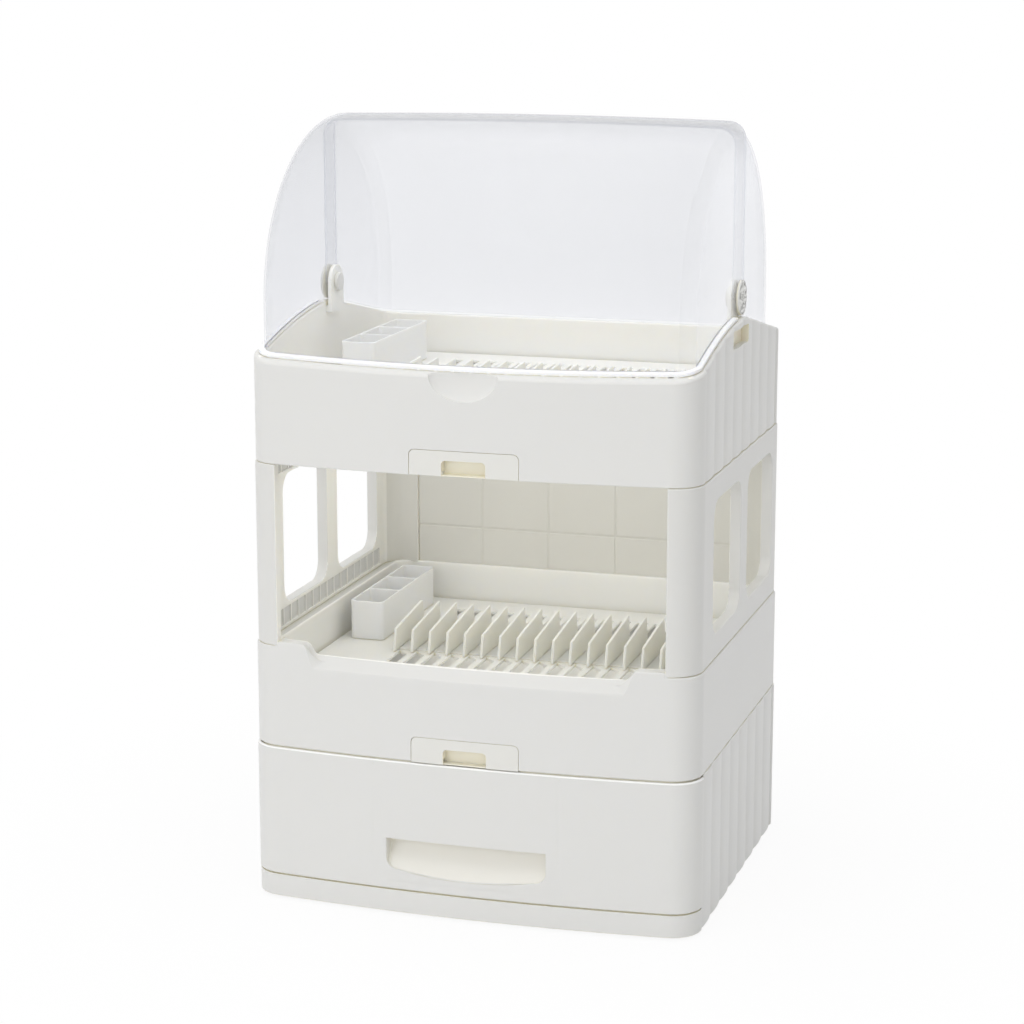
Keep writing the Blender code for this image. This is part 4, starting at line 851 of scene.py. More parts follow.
def place(
    piece: bpy.types.Object,
    finish: Finish,
    body: str,
    slot: str,
    stands_for: Sequence[str],
) -> None:
    """Finish a piece and tie it to the CAD frame.

    Args:
        piece: The object.
        finish: Its finish.
        body: The CAD body it moves with.
        slot: The record's material slot; not used.
        stands_for: CAD nodes that it replaces.
    """
    piece.data.materials.clear()
    piece.data.materials.append(finish.material())
    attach(piece, body)
    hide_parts(*stands_for)
    LOG.info("%s: %d faces on %s", piece.name, len(piece.data.polygons), body)


def paint(
    piece: bpy.types.Object,
    finish: Finish,
    rule: Rule,
    flat: bool = False,
) -> None:
    """Give another finish to the faces that a rule picks.

    Args:
        piece: The placed piece.
        finish: The other finish.
        rule: Picks faces from their centres and normals.
        flat: Whether those faces are shaded flat.
    """
    data = piece.data
    data.materials.append(finish.material())
    count = len(data.polygons)
    centres, normals = np.empty(count * 3), np.empty(count * 3)
    data.polygons.foreach_get("center", centres)
    data.polygons.foreach_get("normal", normals)
    chosen = rule(centres.reshape(-1, 3), normals.reshape(-1, 3))
    slots = np.empty(count, np.int32)
    data.polygons.foreach_get("material_index", slots)
    slots[chosen] = len(data.materials) - 1
    data.polygons.foreach_set("material_index", slots)
    if flat:
        smooth = np.empty(count, bool)
        data.polygons.foreach_get("use_smooth", smooth)
        smooth[chosen] = False
        data.polygons.foreach_set("use_smooth", smooth)
    data.update()
    LOG.info("%s: %d faces of %s", piece.name, int(chosen.sum()), finish.name)


@dataclass(frozen=True)
class Zone:
    """A box, mirrored left to right, for picking the faces whose centres lie in it."""

    x: Pair = (0.0, 1.0)
    y: Pair = (-1.0, 1.0)
    z: Pair = (0.0, 1.0)
    slack: float = SLACK

    def holds(self, centres: np.ndarray, _: np.ndarray) -> np.ndarray:
        """Pick the faces.

        Args:
            centres: The faces' centres.
            _: Their normals, which aren't needed.

        Returns:
            True for each such face.
        """
        spots = np.column_stack((np.abs(centres[:, 0]), centres[:, 1:]))
        low, high = np.array((self.x, self.y, self.z)).T
        return np.all((spots > low - self.slack) & (spots < high + self.slack), axis=1)


@dataclass(frozen=True)
class Basin:
    """The inside of a tray, for picking its faces."""

    plan: Plan
    width: float
    floor: float

    def holds(self, centres: np.ndarray, _: np.ndarray) -> np.ndarray:
        """Pick the faces inside the basin.

        Args:
            centres: The faces' centres.
            _: Their normals, which aren't needed.

        Returns:
            True for each such face.
        """
        x, y, z = centres.T
        front = FRONT_Y + self.plan.bow_at(x, self.width) + BASIN_EDGE
        within = (np.abs(x) < self.width / 2 - BASIN_EDGE) & (y > front) & (y < REAR_Y - BASIN_EDGE)
        return within & (z > self.floor)


@dataclass
class BaseHousing:
    """Fluted housing with plinth, drawer bay, runners, ribs and rubber feet."""

    plan: Plan = field(default_factory=lambda: Plan(BASE_WIDTH, fluted=True))
    wall: float = 0.003
    foot_x: float = 0.205
    foot_y: Pair = (-0.164, 0.170)
    foot_radius: float = 0.009
    foot_height: float = 0.0045
    foot_edge: float = 0.001
    foot_chamfer: Pair = (0.0007, 0.0004)
    boss_radius: float = 0.012
    rib_half: float = 0.239
    rib_low: float = 0.0048
    rib_pitch: float = 0.105
    rib_thickness: float = 0.0025
    runner_x: Pair = (0.218, 0.226)
    runner_y: Pair = (-0.152, 0.18)
    runner_top: float = 0.031
    ridge_inset: Pair = (0.0036, 0.0056)
    ridge_z: Pair = (0.0262, 0.0303)

    @property
    def floor_low(self) -> float:
        """Height of the floor plate's underside."""
        return DRAWER_BOTTOM - self.wall

    def feet(self) -> dict[str, Pair]:
        """Plan position of each foot by its CAD node's name.

        Returns:
            The four positions.
        """
        return {
            f"{end}_{side.name.lower()}_foot": (side.value * self.foot_x, y)
            for end, y in zip(("front", "rear"), self.foot_y)
            for side in Side
        }

    def shell(self) -> bpy.types.Object:
        """The walls, plinth and floor plate, open above and in front.

        Returns:
            The shell.
        """
        wall = self.wall
        rows = (
            Row(wall, self.floor_low),
            Row(wall, PLINTH_BOTTOM, round_by=0.0006),
            Row(0, PLINTH_BOTTOM, 1, round_by=0.0015),
            Row(0, LOWER_TRAY_BOTTOM, 1, round_by=0.0012),
            Row(wall, LOWER_TRAY_BOTTOM, round_by=0.0006),
            Row(wall, DRAWER_BOTTOM),
        )
        low = (-BEYOND, FRONT_Y - OVERRUN, DRAWER_BOTTOM)
        high = (BEYOND, CREASE_Y + OVERLAP, LOWER_TRAY_BOTTOM + OVERRUN)
        shell = sweep("base_housing_fine", rows, self.plan)
        return combine(shell, (block("front_cut", low, high),), "DIFFERENCE")

    def fittings(self) -> list[bpy.types.Object]:
        """Foot bosses, ribs under the floor, the drawer's runners and the ridge behind its lower edge.

        Returns:
            The solids.
        """
        made = []
        ceiling = self.floor_low + OVERLAP
        for name, (x, y) in self.feet().items():
            rows = ((self.foot_height + SEAT_GAP, self.boss_radius), (ceiling, self.boss_radius))
            made.append(disc(name + "_boss", (x, y), "Z", rows, 32))
        for step in range(3):
            y = FRONT_Y + self.rib_pitch * (step + 1)
            low = (-self.rib_half, y - self.rib_thickness / 2, self.rib_low)
            made.append(block(f"rib_{step}", low, (self.rib_half, y + self.rib_thickness / 2, ceiling)))
        for side in Side:
            near, far = span(side, *self.runner_x)
            low = (near, self.runner_y[0], DRAWER_BOTTOM - OVERLAP)
            made.append(block(f"runner_{side.name}", low, (far, self.runner_y[1], self.runner_top)))
        (outer, inner), (low, high) = self.ridge_inset, self.ridge_z
        rows = (Row(outer, low), Row(outer, high), Row(inner, high), Row(inner, low))
        made.append(sweep("ridge", rows, Plan(DRAWER_WIDTH), closed=True, front_only=True))
        return made

    def build(self) -> None:
        """Make the housing and its feet."""
        housing = merge("base_housing_fine", (self.shell(), *self.fittings()))
        soften(housing, 0.0007)
        place(housing, IVORY, "stack", "base_ivory", ("base_housing",))
        edge, radius, (inward, upward) = self.foot_edge, self.foot_radius, self.foot_chamfer
        sole = ((0.0, radius - edge), (upward, radius - edge + inward))
        rows = (*sole, (edge, radius), (self.foot_height, radius))
        for name, (x, y) in self.feet().items():
            foot = disc(name + "_fine", (x, y), "Z", rows, 48)
            soften(foot, 0.0)
            place(foot, RUBBER, "stack", "rubber", (name,))


@dataclass
class Drawer:
    """Bow-fronted drawer with its handle recess, and the bin behind it."""

    plan: Plan = field(default_factory=lambda: Plan(DRAWER_WIDTH))
    gap: float = 0.0015
    skin: float = 0.003
    edge: float = 0.0011
    # height of the painted highlight band on the top edge
    top_edge: float = 0.0018
    handle_half: float = 0.086
    handle_top: float = 0.083
    handle_low: float = 0.044
    lip_rise: float = 0.006
    handle_depth: float = 0.018
    band: float = 0.009
    corner: float = 0.012
    pocket_wall: float = 0.003
    painted_from: float = 0.0014
    groove_aside: float = 0.014
    groove_below: float = 0.0065
    groove_corner: float = 0.018
    groove_end: float = 0.006
    groove_half: float = 0.00396
    groove_depth: float = 0.0005
    groove_over: float = 0.0006
    bin_half: float = 0.234
    bin_y: Pair = (-0.1887, 0.199)
    bin_z: Pair = (0.0313, 0.157)
    bin_corner: float = 0.024
    bin_wall: float = 0.002

    def opening(self, grow: float) -> np.ndarray:
        """Front outline of the recess, or of its wall when grown.

        Args:
            grow: How far the outline is grown.

        Returns:
            Points as rows of x and z.
        """
        half, radius, low = self.handle_half + grow, self.corner + grow, self.handle_low - grow
        share = np.linspace(0.0, 1.0, 18)[:-1]
        lip = np.column_stack(((half - radius) * share, low + self.lip_rise * share**2))
        corner = arc((half - radius, low + self.lip_rise + radius), radius, -math.pi / 2, 0.0, 12)
        return looped(np.vstack((lip, corner, ((half, self.handle_top + grow),))))

    def recess(self, name: str, grow: float, front: float) -> bpy.types.Object:
        """The recess's volume: front outline, back band and sloping ramp.

        Args:
            name: The object's name.
            grow: How far it is grown, for its wall.
            front: Where it starts.

        Returns:
            The solid.
        """
        band_low = self.handle_top - self.band
        slope = (band_low - self.handle_low) / self.handle_depth
        drop = grow * math.hypot(slope, 1.0)
        back = FRONT_Y + self.handle_depth + grow
        outline = (
            (FRONT_Y - OVERRUN, self.handle_low - drop - OVERRUN * slope),
            (back, band_low - drop + grow * slope),
            (back, self.handle_top + grow),
            (FRONT_Y - OVERRUN, self.handle_top + grow),
        )
        half = self.handle_half + grow + OVERRUN
        wedge = prism(name, np.array(outline), "X", -half, half)
        opening = prism("opening", self.opening(grow), "Y", front, back + OVERRUN)
        return combine(wedge, (opening,), "INTERSECT")

    def keep_behind_bow(self, front: bpy.types.Object) -> None:
        """Push corners that a rounding left in front of the bow back to it.

        Args:
            front: The drawer's front.
        """
        spots = corners_of(front.data)
        spots[:, 1] = np.maximum(spots[:, 1], FRONT_Y + self.plan.bow_at(spots[:, 0], DRAWER_WIDTH))
        move_corners(front.data, spots)

    def frame_groove(self) -> bpy.types.Object:
        """The faint V-shaped groove that runs round the handle and up to the front's top edge.

        Returns:
            The cutter: a triangle carried along a U-shaped path that follows the bow.
        """
        half, low = self.handle_half + self.groove_aside, self.handle_low - self.groove_below
        radius, high = self.groove_corner, LOWER_TRAY_BOTTOM - self.groove_end
        flat = np.linspace(0.0, half - radius, 16)[:-1]
        bottom = np.column_stack((flat, np.full(len(flat), low)))
        corner = arc((half - radius, low + radius), radius, -math.pi / 2, 0.0, 11)
        rise = np.column_stack((np.full(3, half), np.linspace(low + radius, high, 4)[1:]))
        path = opened(np.vstack((bottom, corner, rise)))
        along = np.gradient(path, axis=0)
        along /= np.linalg.norm(along, axis=1)[:, None]
        across = np.column_stack((-along[:, 1], along[:, 0]))
        lines = []
        for aside, behind in ((-1, -self.groove_over), (0, self.groove_depth), (1, -self.groove_over)):
            spot = path + across * aside * self.groove_half
            y = FRONT_Y + behind + self.plan.bow_at(spot[:, 0], DRAWER_WIDTH)
            lines.append(np.column_stack((spot[:, 0], y, spot[:, 1])))
        return rings("frame_groove", np.array(lines), True, False)

    def in_recess(self, centres: np.ndarray, _: np.ndarray) -> np.ndarray:
        """Pick the faces of the handle's recess.

        Args:
            centres: The faces' centres.
            _: Their normals, which aren't needed.

        Returns:
            True for each such face.
        """
        x, y, z = centres.T
        behind = y > FRONT_Y + self.painted_from + self.plan.bow_at(x, DRAWER_WIDTH)
        level = (z > self.handle_low - SLACK) & (z < self.handle_top + SLACK)
        return behind & level & (np.abs(x) < self.handle_half + SLACK)

    def front(self) -> None:
        """Make the front with its handle."""
        low, high = DRAWER_BOTTOM + self.gap, LOWER_TRAY_BOTTOM - self.gap
        rows = (
            Row(0, low, round_by=0.0015),
            Row(0, high, round_by=0.0023),
            Row(self.skin, high, round_by=0.0005),
            Row(self.skin, low, round_by=0.0006),
        )
        front = sweep("drawer_front_fine", rows, self.plan, closed=True, front_only=True)
        combine(front, (self.recess("wall", self.pocket_wall, FRONT_Y + self.skin - OVERLAP),), "UNION")
        combine(front, (self.recess("recess", 0.0, FRONT_Y - OVERRUN), self.frame_groove()), "DIFFERENCE")
        soften(front, self.edge)
        self.keep_behind_bow(bake(front))
        place(front, IVORY, "drawer", "drawer_ivory", ("drawer_front",))
        # the shaded recess is painted lighter and warmer
        paint(front, RECESS_PAINTED_LIGHT, self.in_recess)
        # painted highlight along the front's top edge
        paint(front, EDGE_HIGHLIGHT, Zone(z=(high - self.top_edge, 1.0), slack=0.0).holds)

    def bin(self) -> None:
        """Make the bin."""
        half, (front, back), (low, high), wall = self.bin_half, self.bin_y, self.bin_z, self.bin_wall
        outer = rounded_rectangle(-half, half, front, back, self.bin_corner)
        start, end = front + wall, back - wall
        inner = rounded_rectangle(-half + wall, half - wall, start, end, self.bin_corner - wall)
        made = prism("drawer_bin_fine", outer, "Z", low, high)
        combine(made, (prism("inside", inner, "Z", low + wall, high + OVERRUN),), "DIFFERENCE")
        soften(made, 0.0006)
        place(made, CREAM, "drawer", "bin_cream", ("drawer_bin",))

    def build(self) -> None:
        """Make the front and the bin."""
        self.front()
        self.bin()


@dataclass
class DripTray:
    """Pull-out drip tray with a tab and a finger notch."""

    tier: str
    width: float
    tray_bottom: float
    drop: float = 0.0
    half: float = 0.0575
    tab_low: float = 0.0005
    tab_height: float = 0.0265
    tab_thickness: float = 0.003
    tab_corner: float = 0.006
    body_half: float = 0.0545
    body_rise: float = 0.0048
    length: float = 0.190
    wall: float = 0.002
    wing: float = 0.005
    notch: float = 0.023
    notch_depth: float = 0.010
    notch_height: float = 0.016
    notch_corner: float = 0.004
    shelf_start: float = 0.0015
    shelf_thickness: float = 0.0012

    def tab(self, low: float, top: float) -> bpy.types.Object:
        """The tab: its plan follows the bow and its upper corners are round.

        Args:
            low: Its lower edge.
            top: Its upper edge.

        Returns:
            The tab.
        """
        x = np.linspace(-self.half, self.half, 25)
        bow = np.column_stack((x, FRONT_Y + Plan(self.width).bow_at(x, self.width)))
        back = FRONT_Y + self.tab_thickness
        plan = np.vstack((bow, ((self.half, back), (-self.half, back))))
        face = rounded_rectangle(-self.half, self.half, low - OVERRUN, top, self.tab_corner)
        made = prism(f"{self.tier}_drip_tray_fine", plan, "Z", low, top)
        return combine(made, (prism("face", face, "Y", FRONT_Y - OVERRUN, FRONT_Y + OVERRUN),), "INTERSECT")

    def hollow(self, low: float, high: float) -> bpy.types.Object:
        """The tray's inside, which leaves a wall round the notch.

        Args:
            low: Its floor.
            high: Its upper end.

        Returns:
            The cutter.
        """
        half, wing, step = self.body_half - self.wall, FRONT_Y + self.wing, self.notch + self.wall
        back, end = FRONT_Y + self.notch_depth + self.wall, FRONT_Y + self.length - self.wall
        left = ((-half, wing), (-step, wing), (-step, back))
        right = ((step, back), (step, wing), (half, wing))
        return prism("hollow", np.array((*left, *right, (half, end), (-half, end))), "Z", low, high)

    def build(self) -> None:
        """Make the tray."""
        low, top = self.tray_bottom + self.tab_low - self.drop, self.tray_bottom + self.tab_height
        floor, notch, back = self.tray_bottom + self.body_rise, self.notch, FRONT_Y + self.notch_depth
        tray = self.tab(low, top)
        end = (self.body_half, FRONT_Y + self.length, top)
        body = block("body", (-self.body_half, FRONT_Y + self.wall, floor), end)
        end = (notch + self.wall, back + self.wall, floor + OVERLAP)
        wall = block("wall", (-notch - self.wall, back - OVERLAP, low), end)
        combine(tray, (body, wall), "UNION")
        opening = rounded_rectangle(-notch, notch, low - OVERRUN, low + self.notch_height, self.notch_corner)
        cutter = prism("notch", opening, "Y", FRONT_Y - OVERRUN, back)
        combine(tray, (self.hollow(floor + self.wall, top + OVERRUN), cutter), "DIFFERENCE")
        end = (notch + OVERLAP, back + OVERLAP, low + self.shelf_thickness)
        combine(tray, (block("shelf", (-notch - OVERLAP, FRONT_Y + self.shelf_start, low), end),), "UNION")
        soften(tray, 0.0005)
        place(tray, DRIP, f"{self.tier}_drip", "drip_tray_ivory", (f"{self.tier}_drip_tray",))
        # warm painted glow in the shaded notch
        zone = Zone((0.0, self.notch), (FRONT_Y + self.shelf_start, 1.0), slack=0.0003)
        paint(tray, NOOK_PAINTED_GLOW, zone.holds)


@dataclass(frozen=True)
class DripBay:
    """What a tray has for its drip tray: the tab's opening, the drain hole and two L-shaped rails."""

    bottom: float
    opening_half: float = 0.0579
    opening_height: float = 0.0269
    opening_depth: float = 0.005
    corner: float = 0.006
    drain_half: float = 0.020
    drain_y: Pair = (-0.150, -0.050)
    drain_z: Pair = (0.030, 0.035)
    rail_x: Triple = (0.0515, 0.0575, 0.0600)
    rail_z: Triple = (0.002, 0.0045, 0.032)
    rail_start: float = 0.012
    rail_length: float = 0.190

    def rails(self) -> list[bpy.types.Object]:
        """The rails under the tray's floor, that carry the drip tray.

        Returns:
            The two rails.
        """
        inner, web, outer = self.rail_x
        sole, foot, top = (self.bottom + z for z in self.rail_z)
        upright = ((outer, top), (web, top), (web, foot))
        profile = np.array(((inner, sole), (outer, sole), *upright, (inner, foot)))
        front = FRONT_Y + self.rail_start
        made = []
        for side in Side:
            outline = profile * np.array((side.value, 1.0))
            made.append(prism(f"rail_{side.name}", outline, "Y", front, front + self.rail_length))
        return made

    def cuts(self) -> tuple[bpy.types.Object, bpy.types.Object]:
        """The opening for the tab, and the drain hole above the drip tray.

        Returns:
            The two cutters.
        """
        half, low, high = self.opening_half, self.bottom - OVERRUN, self.bottom + self.opening_height
        opening = rounded_rectangle(-half, half, low, high, self.corner)
        drain = rounded_rectangle(-self.drain_half, self.drain_half, *self.drain_y, self.corner)
        drain_low, drain_high = (self.bottom + z for z in self.drain_z)
        return (
            prism("tab_opening", opening, "Y", FRONT_Y - OVERRUN, FRONT_Y + self.opening_depth),
            prism("drain", drain, "Z", drain_low, drain_high),
        )


@dataclass
class LowerTray:
    """Plain tray with a sloping sill between two S-shaped shoulders."""

    plan: Plan = field(default_factory=lambda: Plan(LOWER_TRAY_WIDTH))
    bottom: float = LOWER_TRAY_BOTTOM + SEAT_GAP
    wall: float = 0.003
    basin_inset: float = 0.009
    floor_low: float = 0.200
    floor: float = LOWER_FLOOR
    flange_low: float = 0.272
    bead: float = 0.0028
    bead_inset: float = 0.0065
    rim_inset: float = 0.012
    floor_inset: float = 0.020
    sill_half: float = 0.163
    shoulder: float = 0.016
    wall_half: float = 0.2065
    wall_rise: float = 0.005
    sill_drop: float = 0.020
    sill_slope: float = 11.0 / 10.5
    shaped_half: float = 0.2095
    shaped_depth: float = 0.03
    shaped_until: float = -0.17
    shaped_z: Pair = (0.205, 0.268)
    lip_inset: float = 0.0034
    lip_drop: float = 0.0042
    lip_rise: float = 0.0008
    lip_thickness: float = 0.002
    lip_gap: Pair = (0.0582, 0.03)
    stop_half: float = 0.0575
    stop_y: Pair = (FRONT_Y + 0.0128, FRONT_Y + 0.0148)
    stop_z: Pair = (0.162, 0.173)

    def target(self, x: np.ndarray, inward: np.ndarray) -> np.ndarray:
        """Height of the front wall's top over the flange.

        At share t, a shoulder has risen by t - sin(2 pi t) / (2 pi) of its height.

        Args:
            x: Positions across.
            inward: Distances behind the bow.

        Returns:
            Rises, from the sill over the S-shaped shoulders to the wall.
        """
        share = np.clip((np.abs(x) - self.sill_half) / self.shoulder, 0.0, 1.0)
        smooth = share - np.sin(2 * np.pi * share) / (2 * np.pi)
        sill = -self.sill_drop + self.sill_slope * np.clip(inward, 0.0, self.rim_inset)
        rise = np.where(np.abs(x) <= self.wall_half, self.wall_rise, 0.0)
        return sill + (rise - sill) * smooth

    def shape_front(self, tray: bpy.types.Object) -> None:
        """Move the front wall's top to the sill's and shoulders' line.

        Args:
            tray: The swept tray.
        """
        spots = corners_of(tray.data)
        x, y, z = spots.T
        inward = y - FRONT_Y - self.plan.bow_at(x, LOWER_TRAY_WIDTH)
        front = (inward < self.shaped_depth) & (np.abs(x) < self.shaped_half) & (y < self.shaped_until)
        low, high = self.shaped_z
        weight = np.clip((z - low) / (high - low), 0.0, 1.0) * front
        bead = np.where(front, np.minimum(z, FLANGE_TOP), z)
        spots[:, 2] = bead + weight * self.target(x, inward)
        move_corners(tray.data, spots)

    def lip(self) -> bpy.types.Object:
        """The locating lip that hangs just behind the seam under the tray, open at the drip tray.

        Returns:
            The lip.
        """
        outer, inner = self.lip_inset, self.lip_inset + self.lip_thickness
        over, low, high = self.bottom + self.lip_rise, self.bottom - self.lip_drop, self.bottom + self.wall
        rows = (
            Row(outer - OVERLAP, over),
            Row(outer - OVERLAP, high),
            Row(inner, high),
            Row(inner, low),
            Row(outer, low),
            Row(outer, over),
        )
        lip = sweep("lip", rows, self.plan, closed=True)
        half, depth = self.lip_gap
        gap = block("gap", (-half, FRONT_Y - OVERRUN, low - OVERRUN), (half, FRONT_Y + depth, self.floor_low))
        return combine(lip, (gap,), "DIFFERENCE")

    def stop(self) -> bpy.types.Object:
        """The block that closes the view behind the drip tray's notch; it carries a warm painted glow."""
        (front, back), (low, high) = self.stop_y, self.stop_z
        return block("stop", (-self.stop_half, front, low), (self.stop_half, back, high))

    def build(self) -> None:
        """Make the tray."""
        inner, floor, bead_top = LOWER_BASIN_WIDTH, self.floor, FLANGE_TOP + self.bead
        rows = (
            Row(self.basin_inset, self.floor_low, width=inner),
            Row(self.basin_inset, self.flange_low, width=inner),
            Row(self.wall, self.flange_low),
            Row(self.wall, self.bottom, round_by=0.0006),
            Row(0.0, self.bottom, round_by=0.0015),
            Row(0.0, FLANGE_TOP, round_by=0.0022),
            Row(self.bead_inset, FLANGE_TOP, width=inner, round_by=0.0005),
            Row(self.bead_inset, bead_top, width=inner, round_by=0.0011),
            Row(self.rim_inset, bead_top, width=inner, round_by=0.0018),
            Row(self.rim_inset, floor, width=inner, round_by=0.005),
            Row(self.floor_inset, floor, width=inner),
        )
        tray = sweep("lower_tray_fine", rows, self.plan)
        self.shape_front(tray)
        bay = DripBay(LOWER_TRAY_BOTTOM)
        combine(tray, bay.cuts(), "DIFFERENCE")
        tray = merge("lower_tray_fine", (tray, self.lip(), self.stop(), *bay.rails()))
        soften(tray, 0.0)
        place(tray, IVORY, "stack", "lower_tray_ivory", ("lower_tray",))
        # painted light on the basin's inner faces
        paint(tray, LIT_INNER, Basin(self.plan, inner, self.floor_low).holds)
        # warm painted glow on the block behind the notch
        paint(tray, NOOK_PAINTED_GLOW, Zone((0.0, self.stop_half), self.stop_y, self.stop_z, slack=0.0002).holds)


@dataclass
class UpperTray:
    """Fluted tray whose rim rises to the hinges, with scoop, hand-holds and ears."""

    plan: Plan = field(default_factory=lambda: Plan(UPPER_TRAY_WIDTH, fluted=True))
    wall: float = 0.003
    basin_inset: float = 0.009
    floor_low: float = 0.5005
    floor: float = UPPER_FLOOR
    solid_from: float = 0.545
    flutes_from: float = 0.550
    lift_from: float = 0.560
    rim_inset: float = 0.012
    floor_inset: float = 0.020
    scoop_size: Triple = (0.037, 0.0105, 0.028)
    scoop_z: float = 0.574
    hold_x: Pair = (0.2295, 0.25)
    hold_y: Pair = (-0.046, 0.026)
    hold_z: Pair = (0.584, 0.603)
    hold_corner: float = 0.003
    hold_painted: Pair = (0.2299, 0.2350)
    ear_inner: float = 0.219
    ear_thickness: float = 0.004
    ear_radius: float = 0.0185
    ear_root: float = 0.007
    root_outer: float = 0.2265

    def scoop(self) -> bpy.types.Object:
        """The finger scoop's cutter: an ellipsoid, with rings at cos(turn) and of radius sin(turn).

        Returns:
            The solid.
        """
        half, deep, tall = self.scoop_size
        tip, steps = 0.004, 64
        circle = arc((0.0, 0.0), 1.0, 0.0, 2 * math.pi, steps)[:-1]
        lines = []
        for turn in np.linspace(0.0, math.pi, 34):
            ring = circle * (deep, tall) * max(math.sin(turn), tip) + (FRONT_Y, self.scoop_z)
            lines.append(np.column_stack((np.full(steps, half * math.cos(turn)), ring)))
        return rings("scoop", np.array(lines), False, True)

    def ears(self) -> list[bpy.types.Object]:
        """The moulded ears that carry the hinge pins.

        Returns:
            An ear with its root for each side.
        """
        front, back = HINGE_Y - self.ear_radius, HINGE_Y + self.ear_radius
        top = float(rim_height(np.array(back))) - OVERLAP
        low = top - self.ear_root
        dome = arc((HINGE_Y, HINGE_Z), self.ear_radius, 0.0, math.pi, 39)
        outline = np.vstack((dome, ((front, low), (back, low))))
        made = []
        for side in Side:
            inner, outer = span(side, self.ear_inner, self.ear_inner + self.ear_thickness)
            near, far = span(side, self.ear_inner, self.root_outer)
            ear = prism(f"ear_{side.name}", outline, "X", inner, outer)
            combine(ear, (block("root", (near, front, low), (far, back, top)),), "UNION")
            bore = disc("bore", HINGE, "X", ((inner - OVERLAP, HINGE_BORE), (outer + OVERLAP, HINGE_BORE)))
            made.append(combine(ear, (bore,), "DIFFERENCE"))
        return made

    def holds(self) -> list[bpy.types.Object]:
        """The cutters of the hand-holds in both sides."""
        outline = rounded_rectangle(*self.hold_y, *self.hold_z, self.hold_corner, 4)
        return [prism(f"hold_{side.name}", outline, "X", *span(side, *self.hold_x)) for side in Side]

    def build(self) -> None:
        """Make the tray."""
        bottom = UPPER_TRAY_BOTTOM
        rows = (
            Row(self.basin_inset, self.floor_low),
            Row(self.basin_inset, self.solid_from),
            Row(self.wall, self.solid_from),
            Row(self.wall, bottom, round_by=0.0006),
            Row(0.0, bottom, 1, round_by=0.0015),
            Row(0.0, self.flutes_from, 1),
            Row(0.0, self.lift_from, 1, 1),
            Row(0.0, FRONT_RIM, 1, 1, round_by=0.0032),
            Row(self.rim_inset, FRONT_RIM, 0, 1, round_by=0.0030),
            Row(self.rim_inset, self.lift_from, 0, 1),
            Row(self.rim_inset, self.solid_from),
            Row(self.rim_inset, self.floor, round_by=0.005),
            Row(self.floor_inset, self.floor),
        )
        tray = sweep("upper_tray_fine", rows, self.plan, lift=lambda y: rim_height(y) - FRONT_RIM)
        bay = DripBay(bottom)
        combine(tray, (*bay.cuts(), self.scoop(), *self.holds()), "DIFFERENCE")
        tray = merge("upper_tray_fine", (tray, *bay.rails(), *self.ears()))
        soften(tray, 0.0)
        place(tray, IVORY, "stack", "upper_tray_ivory", ("upper_tray",))
        # painted light on the basin's inner faces
        paint(tray, LIT_INNER, Basin(self.plan, UPPER_TRAY_WIDTH, self.floor_low - SLACK).holds)
        # warm painted glow in the shaded hand-holds
        paint(tray, NOOK_PAINTED_GLOW, Zone(self.hold_painted, self.hold_y, self.hold_z).holds)


